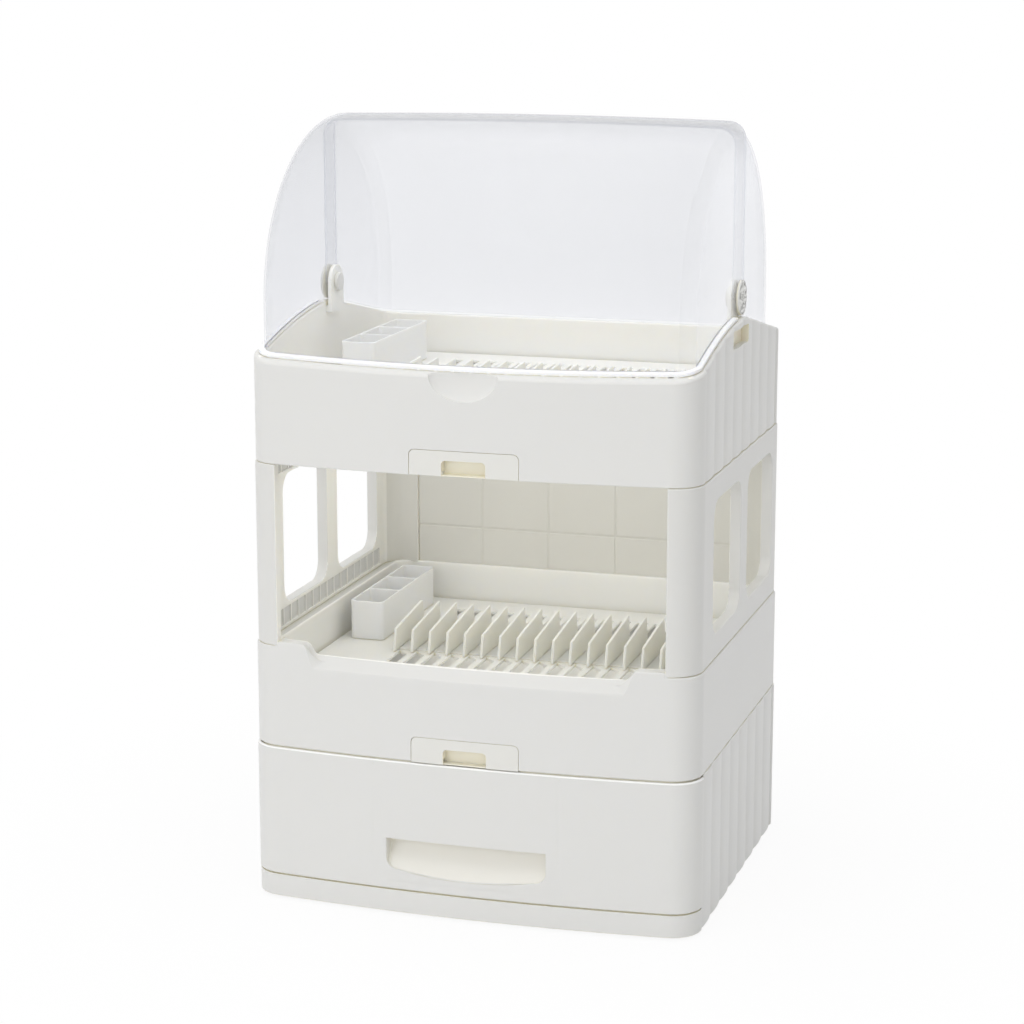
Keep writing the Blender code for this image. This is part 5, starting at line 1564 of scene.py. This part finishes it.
@dataclass
class Frame:
    """The two windowed side panels and the back panel between them."""

    plan: Plan = field(default_factory=lambda: Plan(FRAME_WIDTH))
    thickness: float = 0.012
    low: float = FLANGE_TOP + SEAT_GAP
    high: float = UPPER_TRAY_BOTTOM - SEAT_GAP
    pillar_inner: float = 0.207
    rear_inner: float = 0.1895
    window_fronts: Pair = (-0.128, 0.032)
    window: Pair = (0.128, 0.140)
    window_corner: float = 0.020
    window_x: Pair = (0.2165, 0.25)
    pocket_x: Pair = (0.2165, 0.2284)
    pocket: Pair = (0.0189, 0.018)
    pocket_first: float = -0.151
    pocket_pitch: float = 0.0214
    pocket_count: int = 15
    strip_from: float = 0.18
    strip_turn: float = -0.4
    back_half: float = 0.1893
    back_y: Pair = (0.202, 0.208)
    groove_x: tuple[float, ...] = (-0.111, -0.031, 0.049, 0.129)
    groove_rise: float = 0.046
    groove_half: float = 0.00125
    groove_depth: float = 0.0008

    def pockets(self, side: Side) -> list[bpy.types.Object]:
        """Cutters of the two rows of small pockets above and below the windows.

        Args:
            side: The panel's side.

        Returns:
            The cutters.
        """
        near, far = span(side, *self.pocket_x)
        length, height = self.pocket
        margin = (self.high - self.low - self.window[1]) / 4 - height / 2
        made = []
        for level in (self.low + margin, self.high - margin - height):
            for step in range(self.pocket_count):
                y = self.pocket_first + self.pocket_pitch * step
                made.append(block("pocket", (near, y, level), (far, y + length, level + height)))
        return made

    def windows(self, side: Side) -> list[bpy.types.Object]:
        """Cutters of the two rounded windows.

        Args:
            side: The panel's side.

        Returns:
            The cutters.
        """
        middle, (length, height) = (self.low + self.high) / 2, self.window
        made = []
        for front in self.window_fronts:
            level = (middle - height / 2, middle + height / 2)
            outline = rounded_rectangle(front, front + length, *level, self.window_corner)
            made.append(prism("window", outline, "X", *span(side, *self.window_x)))
        return made

    def panel(self, side: Side) -> None:
        """Make one side panel.

        Args:
            side: Which one.
        """
        rows = (
            Row(0.0, self.low, round_by=0.0016),
            Row(0.0, self.high, round_by=0.0016),
            Row(self.thickness, self.high, round_by=0.0008),
            Row(self.thickness, self.low, round_by=0.0008),
        )
        name = f"{side.name.lower()}_side_panel"
        panel = sweep(name + "_fine", rows, self.plan, closed=True)
        front = ((-BEYOND, -BEYOND), (self.pillar_inner, -BEYOND), (self.pillar_inner, 0.0))
        rear = ((self.rear_inner, 0.0), (self.rear_inner, BEYOND), (-BEYOND, BEYOND))
        outline = np.array((*front, *rear)) * (side.value, 1.0)
        opening = prism("opening", outline, "Z", self.low - OVERRUN, self.high + OVERRUN)
        combine(panel, (opening, *self.windows(side), *self.pockets(side)), "DIFFERENCE")
        soften(panel, 0.0009)
        place(panel, FRAME_IVORY, "stack", "frame_ivory", (name,))
        # painted light on the faces that look into the tier
        paint(panel, LIT_INNER, self.on_inside)
        paint(panel, BACK, self.on_rear_strip)

    def on_inside(self, centres: np.ndarray, normals: np.ndarray) -> np.ndarray:
        """Pick a side panel's faces that look into the tier, by their centres and normals."""
        within = np.abs(centres[:, 0]) < FRAME_WIDTH / 2 - self.thickness + SLACK
        return within & (centres[:, 0] * normals[:, 0] < 0)

    def on_rear_strip(self, centres: np.ndarray, normals: np.ndarray) -> np.ndarray:
        """Pick a side panel's forward faces beside the back panel, by their centres and normals."""
        behind = (centres[:, 1] > self.strip_from) & (centres[:, 1] < REAR_Y - self.thickness + OVERLAP)
        return behind & (normals[:, 1] < self.strip_turn)

    def back(self) -> None:
        """Make the back panel with its grooves."""
        half, wide, (front, back) = self.groove_half, self.back_half, self.back_y
        panel = block("back_panel_fine", (-wide, front, self.low), (wide, back, self.high))
        start, end = front - OVERRUN, front + self.groove_depth
        cuts = []
        for x in self.groove_x:
            low = (x - half, start, self.low - OVERRUN)
            cuts.append(block("upright", low, (x + half, end, self.high + OVERRUN)))
        level = self.low + self.groove_rise
        cuts.append(block("level", (-BEYOND, start, level - half), (BEYOND, end, level + half)))
        combine(panel, cuts, "DIFFERENCE")
        soften(panel, 0.0004, segments=2)
        place(panel, BACK, "stack", "back_cream", ("back_panel",))

    def build(self) -> None:
        """Make the three panels."""
        for side in Side:
            self.panel(side)
        self.back()


@dataclass
class DishRack:
    """Slotted plate on legs, with a row of fins on a base that sits in its recess."""

    tier: str
    width: float
    floor: float
    plate_top: float
    fin_height: float
    fin_count: int = 17
    pitch: float = 0.0198
    first_x: float = -0.132
    fin_thickness: float = 0.003
    fin_lean: float = 0.006
    fin_flat: float = 0.002
    fin_knee: float = 0.66
    half_span: float = 0.04998
    comb_inset: float = 0.012
    comb_end: float = 0.005
    comb_depth: float = 0.001
    slot_half: float = 0.00625
    slot_reach: float = 0.0094
    slot_slant: float = 0.013
    slot_ends: Pair = (-0.135, 0.150)
    plate: float = 0.0035
    plate_inset: float = 0.015
    cap_inset: float = 0.023
    leg: float = 0.010
    leg_inset: float = 0.037
    leg_y: Pair = (-0.1584, 0.163)

    def slots(self, low: float) -> list[bpy.types.Object]:
        """Cutters of the two rows of slots, whose slanted ends lie at the feet of the fins.

        Args:
            low: Height of the plate's underside.

        Returns:
            The cutters.
        """
        end = self.half_span - self.slot_reach
        slanted = end + self.slot_slant
        start, back = self.slot_ends
        made = []
        for step in range(self.fin_count - 1):
            middle = self.first_x + self.pitch * (step + 0.5)
            left, right = middle - self.slot_half, middle + self.slot_half
            front = ((left, start), (right, start), (right, -slanted), (left, -end))
            rear = ((left, end), (right, slanted), (right, back), (left, back))
            for outline in (front, rear):
                made.append(prism("slot", np.array(outline), "Z", low - OVERRUN, self.plate_top + OVERRUN))
        return made

    def comb_box(self, name: str, grow: float, low: float, high: float) -> bpy.types.Object:
        """The comb's base, or its recess when grown.

        Args:
            name: The object's name.
            grow: How far it is grown in the plan.
            low: Its underside.
            high: Its top.

        Returns:
            The box.
        """
        half, end = self.half_span - self.comb_inset + grow, self.comb_end + grow
        last_x = self.first_x + self.pitch * (self.fin_count - 1)
        return block(name, (self.first_x - end, -half, low), (last_x + end, half, high))

    def legs(self, top: float) -> list[bpy.types.Object]:
        """The four legs.

        Args:
            top: Height of their upper ends.

        Returns:
            The legs.
        """
        outer = self.width / 2 - self.leg_inset
        made = []
        for y in self.leg_y:
            for side in Side:
                near, far = span(side, outer, outer - self.leg)
                made.append(block("leg", (near, y, self.floor + SEAT_GAP), (far, y + self.leg, top)))
        return made

    def build_plate(self) -> None:
        """Make the plate with its legs."""
        name = f"{self.tier}_dish_rack"
        top, low = self.plate_top, self.plate_top - self.plate
        rows = (
            Row(self.cap_inset, low),
            Row(self.plate_inset, low, round_by=0.001),
            Row(self.plate_inset, top, round_by=0.001),
            Row(self.cap_inset, top),
        )
        plate = sweep(name + "_fine", rows, Plan(self.width))
        recess = self.comb_box("recess", SEAT_GAP, top - self.comb_depth, top + OVERRUN)
        combine(plate, (*self.slots(low), recess), "DIFFERENCE")
        rack = merge(name + "_fine", (plate, *self.legs(low + OVERLAP)))
        soften(rack, 0.0006)
        place(rack, CREAM, f"{self.tier}_rack", "rack_cream", (name,))

    def build_comb(self) -> None:
        """Make the fins on their base: leaning front edge, straight top, steep rear edge."""
        name = f"{self.tier}_fin_comb"
        foot, half, thick = self.plate_top + SEAT_GAP, self.half_span, self.fin_thickness / 2
        base = self.comb_box("base", 0.0, foot - self.comb_depth, foot + OVERLAP)
        peak, top = half - self.fin_lean, foot + self.fin_height - self.fin_flat
        knee = (self.fin_lean - half, foot + self.fin_height * self.fin_knee)
        outline = np.array(((-half, foot), (half, foot), (peak, top), (peak - self.fin_flat, top), knee))
        fins = []
        for step in range(self.fin_count):
            x = self.first_x + self.pitch * step
            fins.append(prism("fin", outline, "X", x - thick, x + thick))
        comb = merge(name + "_fine", (base, *fins))
        soften(comb, 0.0008)
        place(comb, FIN, f"{self.tier}_rack", "rack_cream", (name,))

    def build(self) -> None:
        """Make both pieces."""
        self.build_plate()
        self.build_comb()


@dataclass
class CutleryCaddy:
    """Narrow box with three compartments."""

    tier: str
    plate_top: float
    front: float
    left: float = -0.1975
    width: float = 0.0385
    length: float = 0.178
    height: float = 0.043
    wall: float = 0.002
    corner: float = 0.006
    bay_corner: float = 0.004
    bay_count: int = 3

    def build(self) -> None:
        """Make the caddy."""
        name, wall, right = f"{self.tier}_cutlery_caddy", self.wall, self.left + self.width
        low = self.plate_top + SEAT_GAP
        high = low + self.height
        outer = rounded_rectangle(self.left, right, self.front, self.front + self.length, self.corner)
        caddy = prism(name + "_fine", outer, "Z", low, high)
        bay = (self.length - (self.bay_count + 1) * wall) / self.bay_count
        cuts = []
        for step in range(self.bay_count):
            start = self.front + wall + step * (bay + wall)
            inner = rounded_rectangle(self.left + wall, right - wall, start, start + bay, self.bay_corner, 6)
            cuts.append(prism("bay", inner, "Z", low + wall, high + OVERRUN))
        combine(caddy, cuts, "DIFFERENCE")
        soften(caddy, 0.0007)
        place(caddy, CADDY, f"{self.tier}_caddy", "caddy_cream", (name,))


@dataclass
class Hood:
    """One clear shell of the hood: a crowned arch with flat side panels and hinge lugs."""

    is_front: bool
    wall: float = 0.002
    rear_half: float = 0.2258
    nest_gap: float = 0.0003
    front_rise: float = 0.1845
    rear_rise: float = 0.1812
    front_reach: float = 0.2035
    rear_reach: float = 0.161
    crown: float = 0.003
    edge: float = 0.018
    lug: float = 0.0185
    seam_slack: float = 0.0003
    edge_turn: Pair = (0.3, 0.95)
    skirt: float = 0.110
    lip: float = 0.005
    lip_z: Pair = (0.001, 0.004)
    lip_through: float = 0.0001
    lip_end: float = 0.032
    lip_painted: Pair = (0.021, 0.0041)
    rim_gap: float = 0.001
    cut_reach: float = 0.02
    cut_depth: float = 0.13
    columns: int = 20
    arc_steps: int = 150
    edge_steps: int = 10

    @property
    def half(self) -> float:
        """Half of the shell's outer width."""
        return self.rear_half + (self.nest_gap + self.wall if self.is_front else 0.0)

    @property
    def rise(self) -> float:
        """Height of the outer face over the hinge."""
        return self.front_rise if self.is_front else self.rear_rise

    @property
    def forward(self) -> int:
        """1 for the front shell, whose seam looks to the rear, and -1 for the rear one."""
        return 1 if self.is_front else -1

    def ring(self, x: float, drawn_in: float, seam: float, skirt: float) -> np.ndarray:
        """Side profile at one column: a quarter ellipse of reach and rise about the hinge.

        The rise falls by the crown, and the front's reach by the bow, times (x / half) ** 2.

        Args:
            x: Position across.
            drawn_in: How far the skin lies inside the outer face there.
            seam: How far the shell runs past the hinge.
            skirt: How far it runs below the hinge.

        Returns:
            Points as rows of y and z, closed below.
        """
        share = (x / self.half) ** 2
        rise = self.rise - self.crown * share - drawn_in
        reach = self.rear_reach - drawn_in
        if self.is_front:
            reach = self.front_reach + BOW * (1 - share) - drawn_in
        bent = arc((0.0, 0.0), 1.0, math.pi / 2, math.pi, self.arc_steps) * (reach, rise)
        start = ((seam, 0.0), (seam, math.sqrt(rise**2 - seam**2)))
        ring = np.vstack((start, bent, ((-reach, -skirt), (seam, -skirt))))
        return ring * (self.forward, 1.0) + (HINGE_Y, HINGE_Z)

    def solid(self, name: str, wall: float, seam: float, skirt: float) -> bpy.types.Object:
        """A closed body with the shell's shape, drawn in by a wall.

        Its columns run over the flat middle, and down a quarter arc of the edge on either side.

        Args:
            name: The object's name.
            wall: How far it is drawn in.
            seam: How far it runs past the hinge.
            skirt: How far it runs below the hinge.

        Returns:
            The solid.
        """
        half, radius = self.half - wall, self.edge - wall
        flat = half - radius
        left = arc((-flat, radius), radius, math.pi, 1.5 * math.pi, self.edge_steps)[:-1]
        middle = np.column_stack((np.linspace(-flat, flat, self.columns + 1), np.zeros(self.columns + 1)))
        lines = []
        for x, drawn_in in np.vstack((left, middle, left[::-1] * MIRROR)):
            ring = self.ring(x, drawn_in + wall, seam, skirt)
            lines.append(np.column_stack((np.full(len(ring), x), ring)))
        return rings(name, np.array(lines), False, True)

    def below(self) -> bpy.types.Object:
        """Everything below the shell's lower edge: the raised rim line and the lug's arc.

        Returns:
            The cutter.
        """
        end = FRONT_Y - self.cut_reach if self.is_front else REAR_Y + self.cut_reach
        y = np.linspace(end, HINGE_Y, 60 if self.is_front else 2)
        line = np.column_stack((y, rim_height(y) + self.rim_gap))
        lug = arc((0.0, 0.0), self.lug, -math.pi / 2, 0.0, 24)[1:] * (self.forward, 1.0)
        beyond, low = HINGE_Y + self.forward * (self.lug + OVERRUN), HINGE_Z - self.cut_depth
        outline = np.vstack((line, lug + (HINGE_Y, HINGE_Z), ((beyond, HINGE_Z), (beyond, low), (end, low))))
        return prism("below", outline, "X", -self.half - OVERRUN, self.half + OVERRUN)

    def front_lip(self) -> bpy.types.Object:
        """The outward lip along the front shell's lower edge: bow, round corners and both sides.

        Returns:
            The solid.
        """
        flat = np.linspace(0.0, self.half - self.edge, 25)
        bow = HINGE_Y - self.front_reach - BOW * (1 - (flat / self.half) ** 2)
        centre = (flat[-1], bow[-1] + self.edge)
        side_y = np.linspace(centre[1], HINGE_Y - self.lip_end, 30)
        low, high = self.lip_z
        out, within = self.lip, -self.wall - self.lip_through
        lines = []
        for aside, up in ((out, low), (out, high), (within, high), (within, low)):
            front = np.column_stack((flat, bow - aside))
            corner = arc(centre, self.edge + aside, -math.pi / 2, 0.0, 11)[1:-1]
            side = np.column_stack((np.full(len(side_y), self.half + aside), side_y))
            path = opened(np.vstack((front, corner, side)))
            lines.append(np.column_stack((path, rim_height(path[:, 1]) + up)))
        return rings("lip", np.array(lines), True, False)

    def on_edge(self, _: np.ndarray, normals: np.ndarray) -> np.ndarray:
        """Pick the rounded edges, which look a little milky, by the faces' normals."""
        aside = np.abs(normals[:, 0])
        return (aside > self.edge_turn[0]) & (aside < self.edge_turn[1])

    def on_seam(self, centres: np.ndarray, _: np.ndarray) -> np.ndarray:
        """Pick the cut face at the seam between the two shells, by the faces' centres."""
        seam = HINGE_Y + self.forward * self.lug
        return (np.abs(centres[:, 1] - seam) < self.seam_slack) & (centres[:, 2] > HINGE_Z)

    def on_lip(self, centres: np.ndarray, _: np.ndarray) -> np.ndarray:
        """Pick the lip and the lower edge, which carry a painted highlight.

        Args:
            centres: The faces' centres.
            _: Their normals, which aren't needed.

        Returns:
            True for each such face.
        """
        away, over = self.lip_painted
        y, z = centres[:, 1], centres[:, 2]
        return (z - rim_height(y) < over) & (self.forward * (HINGE_Y - y) > away)

    def build(self) -> None:
        """Make the shell."""
        end = "front" if self.is_front else "rear"
        shell = self.solid(f"{end}_hood_fine", 0.0, self.lug, self.skirt)
        inside = self.solid("inside", self.wall, self.lug + OVERRUN, self.skirt + OVERRUN)
        combine(shell, (inside, self.below()), "DIFFERENCE")
        if self.is_front:
            combine(shell, (self.front_lip(),), "UNION")
        reach = self.half + OVERRUN
        bore = disc("bores", HINGE, "X", ((-reach, HINGE_BORE), (reach, HINGE_BORE)), 48)
        combine(shell, (bore,), "DIFFERENCE")
        soften(shell, 0.0)
        place(shell, HOOD_CLEAR, f"hood_{end}", "hood_clear", (f"{end}_hood",))
        paint(shell, HOOD_EDGE, self.on_edge)
        paint(shell, HOOD_SEAM, self.on_seam)
        # painted highlight on the lip and the lower edge
        paint(shell, HOOD_LIP_HIGHLIGHT, self.on_lip)


@dataclass
class HingeHardware:
    """The faceted knobs with their pins, and the caps on the pins' inner ends."""

    face: float = 0.2284
    radius: float = 0.0185
    thickness: float = 0.004
    rim: float = 0.0012
    pin: float = 0.0045
    pin_end: float = 0.2163
    tip: float = 0.0002
    knob_edge: Triple = (0.0016, 0.0008, 0.0004)
    facet_rings: int = 14
    facet_depth: Pair = (-0.0007, 0.0011)
    # share of the disc's facets painted dark as painted reflections
    painted_dark_share: float = 0.4
    cap_face: float = 0.219 - SEAT_GAP
    cap_radius: float = 0.010
    cap_thickness: float = 0.004
    cap_hollow: float = 0.0025
    cap_edge: Triple = (0.0008, 0.0003, 0.001)

    def turned(
        self,
        name: str,
        side: Side,
        rows: Sequence[Pair],
        segments: int,
    ) -> bpy.types.Object:
        """A piece turned about the hinge, from distances from the middle and radii."""
        return disc(name, HINGE, "X", [(side.value * along, radius) for along, radius in rows], segments)

    def on_face(self, centres: np.ndarray, _: np.ndarray) -> np.ndarray:
        """Pick the faces of a knob's bright disc, by their centres."""
        away = np.hypot(centres[:, 1] - HINGE_Y, centres[:, 2] - HINGE_Z)
        return (away < self.radius - self.rim) & (np.abs(centres[:, 0]) > self.face + OVERLAP)

    def knob(self, side: Side) -> None:
        """Make a knob: an ivory rim and pin, and a bright disc cut in random facets, some of them painted
        dark as painted reflections.

        Args:
            side: Which one.
        """
        name, segments = f"{side.name.lower()}_hinge_knob", 44
        outer, face, (start, end, inward) = self.face + self.thickness, self.face, self.knob_edge
        rows = [(self.pin_end, self.tip), (self.pin_end, self.pin), (face, self.pin), (face, self.radius)]
        rows += [(outer - start, self.radius), (outer - end, self.radius - inward)]
        facets_from = len(rows) + 1
        for share in np.linspace(1.0, 0.05, self.facet_rings):
            rows.append((outer - self.rim, (self.radius - self.rim) * share))
        knob = self.turned(name + "_fine", side, rows, segments)
        spots = corners_of(knob.data).reshape(-1, segments, 3)
        facets = spots[facets_from:, :, 0]
        chance = np.random.default_rng(7)
        facets += side.value * chance.uniform(*self.facet_depth, facets.shape)
        move_corners(knob.data, spots)
        knob.data.shade_smooth()
        place(knob, IVORY, "stack", "knob_clear", (name,))
        paint(knob, SPARKLE, self.on_face, flat=True)

        def on_painted_dark_facet(centres: np.ndarray, normals: np.ndarray) -> np.ndarray:
            """Pick some of the disc's faces at random, for the painted dark reflections."""
            return self.on_face(centres, normals) & (chance.random(len(centres)) < self.painted_dark_share)

        paint(knob, DARK_FACET_REFLECTION, on_painted_dark_facet)

    def cap(self, side: Side) -> None:
        """Make a cap.

        Args:
            side: Which one.
        """
        name = f"{side.name.lower()}_hinge_cap"
        face, radius = self.cap_face, self.cap_radius
        hollow, end = face - self.cap_hollow, face - self.cap_thickness
        rows = ((hollow, self.tip), (hollow, HINGE_BORE), (face, HINGE_BORE), (face, radius))
        far, near, inward = self.cap_edge
        rows += ((end + far, radius), (end + near, radius - near), (end, radius - inward), (end, self.tip))
        cap = self.turned(name + "_fine", side, rows, 48)
        soften(cap, 0.0)
        place(cap, IVORY, "stack", "cap_ivory", (name,))

    def build(self) -> None:
        """Make both sides."""
        for side in Side:
            self.knob(side)
            self.cap(side)


@dataclass(frozen=True)
class Softbox:
    """One soft rectangular lamp, which mirrors and clear plastic don't show."""

    name: str
    place: Triple
    aim: Triple
    size: Pair
    power: float

    def build(self) -> None:
        """Add the lamp."""
        data = bpy.data.lights.new(self.name, "AREA")
        data.shape = "RECTANGLE"
        data.size, data.size_y = self.size
        data.energy = self.power
        lamp = linked(self.name, data)
        lamp.location = self.place
        direction = Vector(self.aim) - Vector(self.place)
        lamp.rotation_euler = direction.to_track_quat("-Z", "Y").to_euler()
        lamp.visible_camera = False
        lamp.visible_glossy = False
        lamp.visible_transmission = False


@dataclass(frozen=True)
class Studio:
    """Pale floor that turns white away from the object, white surroundings and soft lamps."""

    floor_colour: Triple = (0.90, 0.90, 0.90)
    floor_half: float = 9.0
    dome_level: float = 0.60
    dome_gain: float = 0.22
    dome_side: Triple = (-0.55, -0.80, 0.25)
    white_near: float = 0.92
    near: float = 0.25
    far: float = 0.80

    def world(self) -> None:
        """Set the surroundings: white to the camera, and a soft dome that is brighter in front as light."""
        world = bpy.data.worlds.new("studio_world")
        bpy.context.scene.world = world
        world.use_nodes = True
        world.node_tree.nodes.clear()
        nodes = Nodes(world.node_tree)
        ends = {0: nodes.add("ShaderNodeTexCoord").outputs["Generated"], 1: self.dome_side}
        towards = nodes.add("ShaderNodeVectorMath", ends, operation="DOT_PRODUCT")
        level = nodes.math("MULTIPLY_ADD", towards.outputs["Value"], self.dome_gain, self.dome_level)
        light = nodes.add("ShaderNodeBackground", {"Color": (1.0, 1.0, 1.0, 1.0), "Strength": level})
        white = nodes.add("ShaderNodeBackground", {"Color": (1.0, 1.0, 1.0, 1.0), "Strength": 1.0})
        shown = nodes.mix(self.seen(nodes), light.outputs["Background"], white.outputs["Background"])
        nodes.add("ShaderNodeOutputWorld", {"Surface": shown})

    def seen(self, nodes: Nodes) -> bpy.types.NodeSocket:
        """Whether a ray comes from the camera, straight, mirrored or through clear plastic.

        Args:
            nodes: The tree's helper.

        Returns:
            An output with 1 for such rays.
        """
        path = nodes.add("ShaderNodeLightPath")
        straight = nodes.math("MAXIMUM", path.outputs["Is Camera Ray"], path.outputs["Is Transmission Ray"])
        return nodes.math("MAXIMUM", straight, path.outputs["Is Glossy Ray"])

    def floor(self) -> None:
        """Add the floor: white to the camera except where the object shades it."""
        half = self.floor_half
        corners = np.array(((-half, -half, 0), (half, -half, 0), (half, half, 0), (-half, half, 0)))
        floor = mesh_from("floor", corners, [[0, 1, 2, 3]])
        material = bpy.data.materials.new("floor_paper")
        material.use_nodes = True
        nodes = Nodes(material.node_tree)
        shader = material.node_tree.nodes["Principled BSDF"]
        looks = {"Base Color": (*self.floor_colour, 1.0), "Roughness": 0.9, "Specular IOR Level": 0.2}
        nodes.fill(shader, looks)
        white = nodes.add("ShaderNodeEmission", {"Color": (1.0, 1.0, 1.0, 1.0), "Strength": 1.0})
        spot = nodes.add("ShaderNodeTexCoord").outputs["Object"]
        away = nodes.add("ShaderNodeVectorMath", {0: spot}, operation="LENGTH")
        limits = {
            "Value": away.outputs["Value"],
            "From Min": self.near,
            "From Max": self.far,
            "To Min": self.white_near,
            "To Max": 1.0,
        }
        share = nodes.add("ShaderNodeMapRange", limits, interpolation_type="SMOOTHSTEP")
        part = nodes.math("MULTIPLY", share.outputs["Result"], self.seen(nodes))
        shown = nodes.mix(part, shader.outputs["BSDF"], white.outputs["Emission"])
        nodes.fill(material.node_tree.nodes["Material Output"], {"Surface": shown})
        floor.data.materials.append(material)

    def build(self) -> None:
        """Add everything that isn't the object."""
        self.world()
        self.floor()
        boxes = (
            Softbox("front", place=(-0.7, -3.0, 1.0), aim=(0, 0, 0.30), size=(2.6, 1.6), power=16.0),
            Softbox("top", place=(0, -0.5, 3.0), aim=(0, 0, 0.4), size=(2.6, 2.6), power=34.0),
            Softbox("tier_fill", place=(0, 0, 0.4660), aim=(0, 0, 0), size=(0.40, 0.34), power=0.36),
            Softbox("basin_fill", place=(0, 0.02, 0.790), aim=(0, 0.02, 0), size=(0.36, 0.20), power=0.24),
            Softbox("sump_fill", place=(0, 0, 0.2340), aim=(0, 0, 0), size=(0.36, 0.30), power=0.085),
        )
        for box in boxes:
            box.build()


@dataclass(frozen=True)
class PhotoCamera:
    """The photograph's camera, fitted to the object's corners."""

    focal_px: float = 2676.35
    image_px: float = 1024.0
    sensor: float = 36.0
    azimuth: float = 17.07
    elevation: float = 12.29
    distance: float = 2.8863
    target: Triple = (-0.0133, 0.0, 0.3906)
    clip: Pair = (0.05, 50.0)

    def build(self) -> None:
        """Add the camera and make it the scene's."""
        data = bpy.data.cameras.new("photo_camera")
        data.sensor_width = self.sensor
        data.lens = self.focal_px / self.image_px * self.sensor
        data.clip_start, data.clip_end = self.clip
        turn, lift = math.radians(self.azimuth), math.radians(self.elevation)
        back = Vector((math.sin(turn) * math.cos(lift), -math.cos(turn) * math.cos(lift), math.sin(lift)))
        camera = linked("photo_camera", data)
        camera.location = Vector(self.target) + back * self.distance
        camera.rotation_euler = (-back).to_track_quat("-Z", "Y").to_euler()
        bpy.context.scene.camera = camera


def main() -> None:
    """Build the object's looks, the studio and the camera."""
    logging.basicConfig(level=logging.INFO, format="%(name)s: %(message)s")
    for leftover in list(bpy.data.objects):
        bpy.data.objects.remove(leftover, do_unlink=True)
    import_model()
    assemblies = (
        BaseHousing(),
        Drawer(),
        LowerTray(),
        DripTray("lower", LOWER_TRAY_WIDTH, LOWER_TRAY_BOTTOM, drop=0.001),
        DishRack("lower", LOWER_BASIN_WIDTH, LOWER_FLOOR, LOWER_PLATE_TOP, fin_height=0.0375),
        CutleryCaddy("lower", LOWER_PLATE_TOP, front=-0.010),
        Frame(),
        UpperTray(),
        DripTray("upper", UPPER_TRAY_WIDTH, UPPER_TRAY_BOTTOM),
        DishRack("upper", UPPER_TRAY_WIDTH, UPPER_FLOOR, UPPER_PLATE_TOP, fin_height=0.021),
        CutleryCaddy("upper", UPPER_PLATE_TOP, front=-0.028),
        Hood(is_front=True),
        Hood(is_front=False),
        HingeHardware(),
    )
    for assembly in assemblies:
        assembly.build()
    Studio().build()
    PhotoCamera().build()
    bpy.context.scene.view_settings.view_transform = "Standard"


if __name__ == "__main__":
    main()
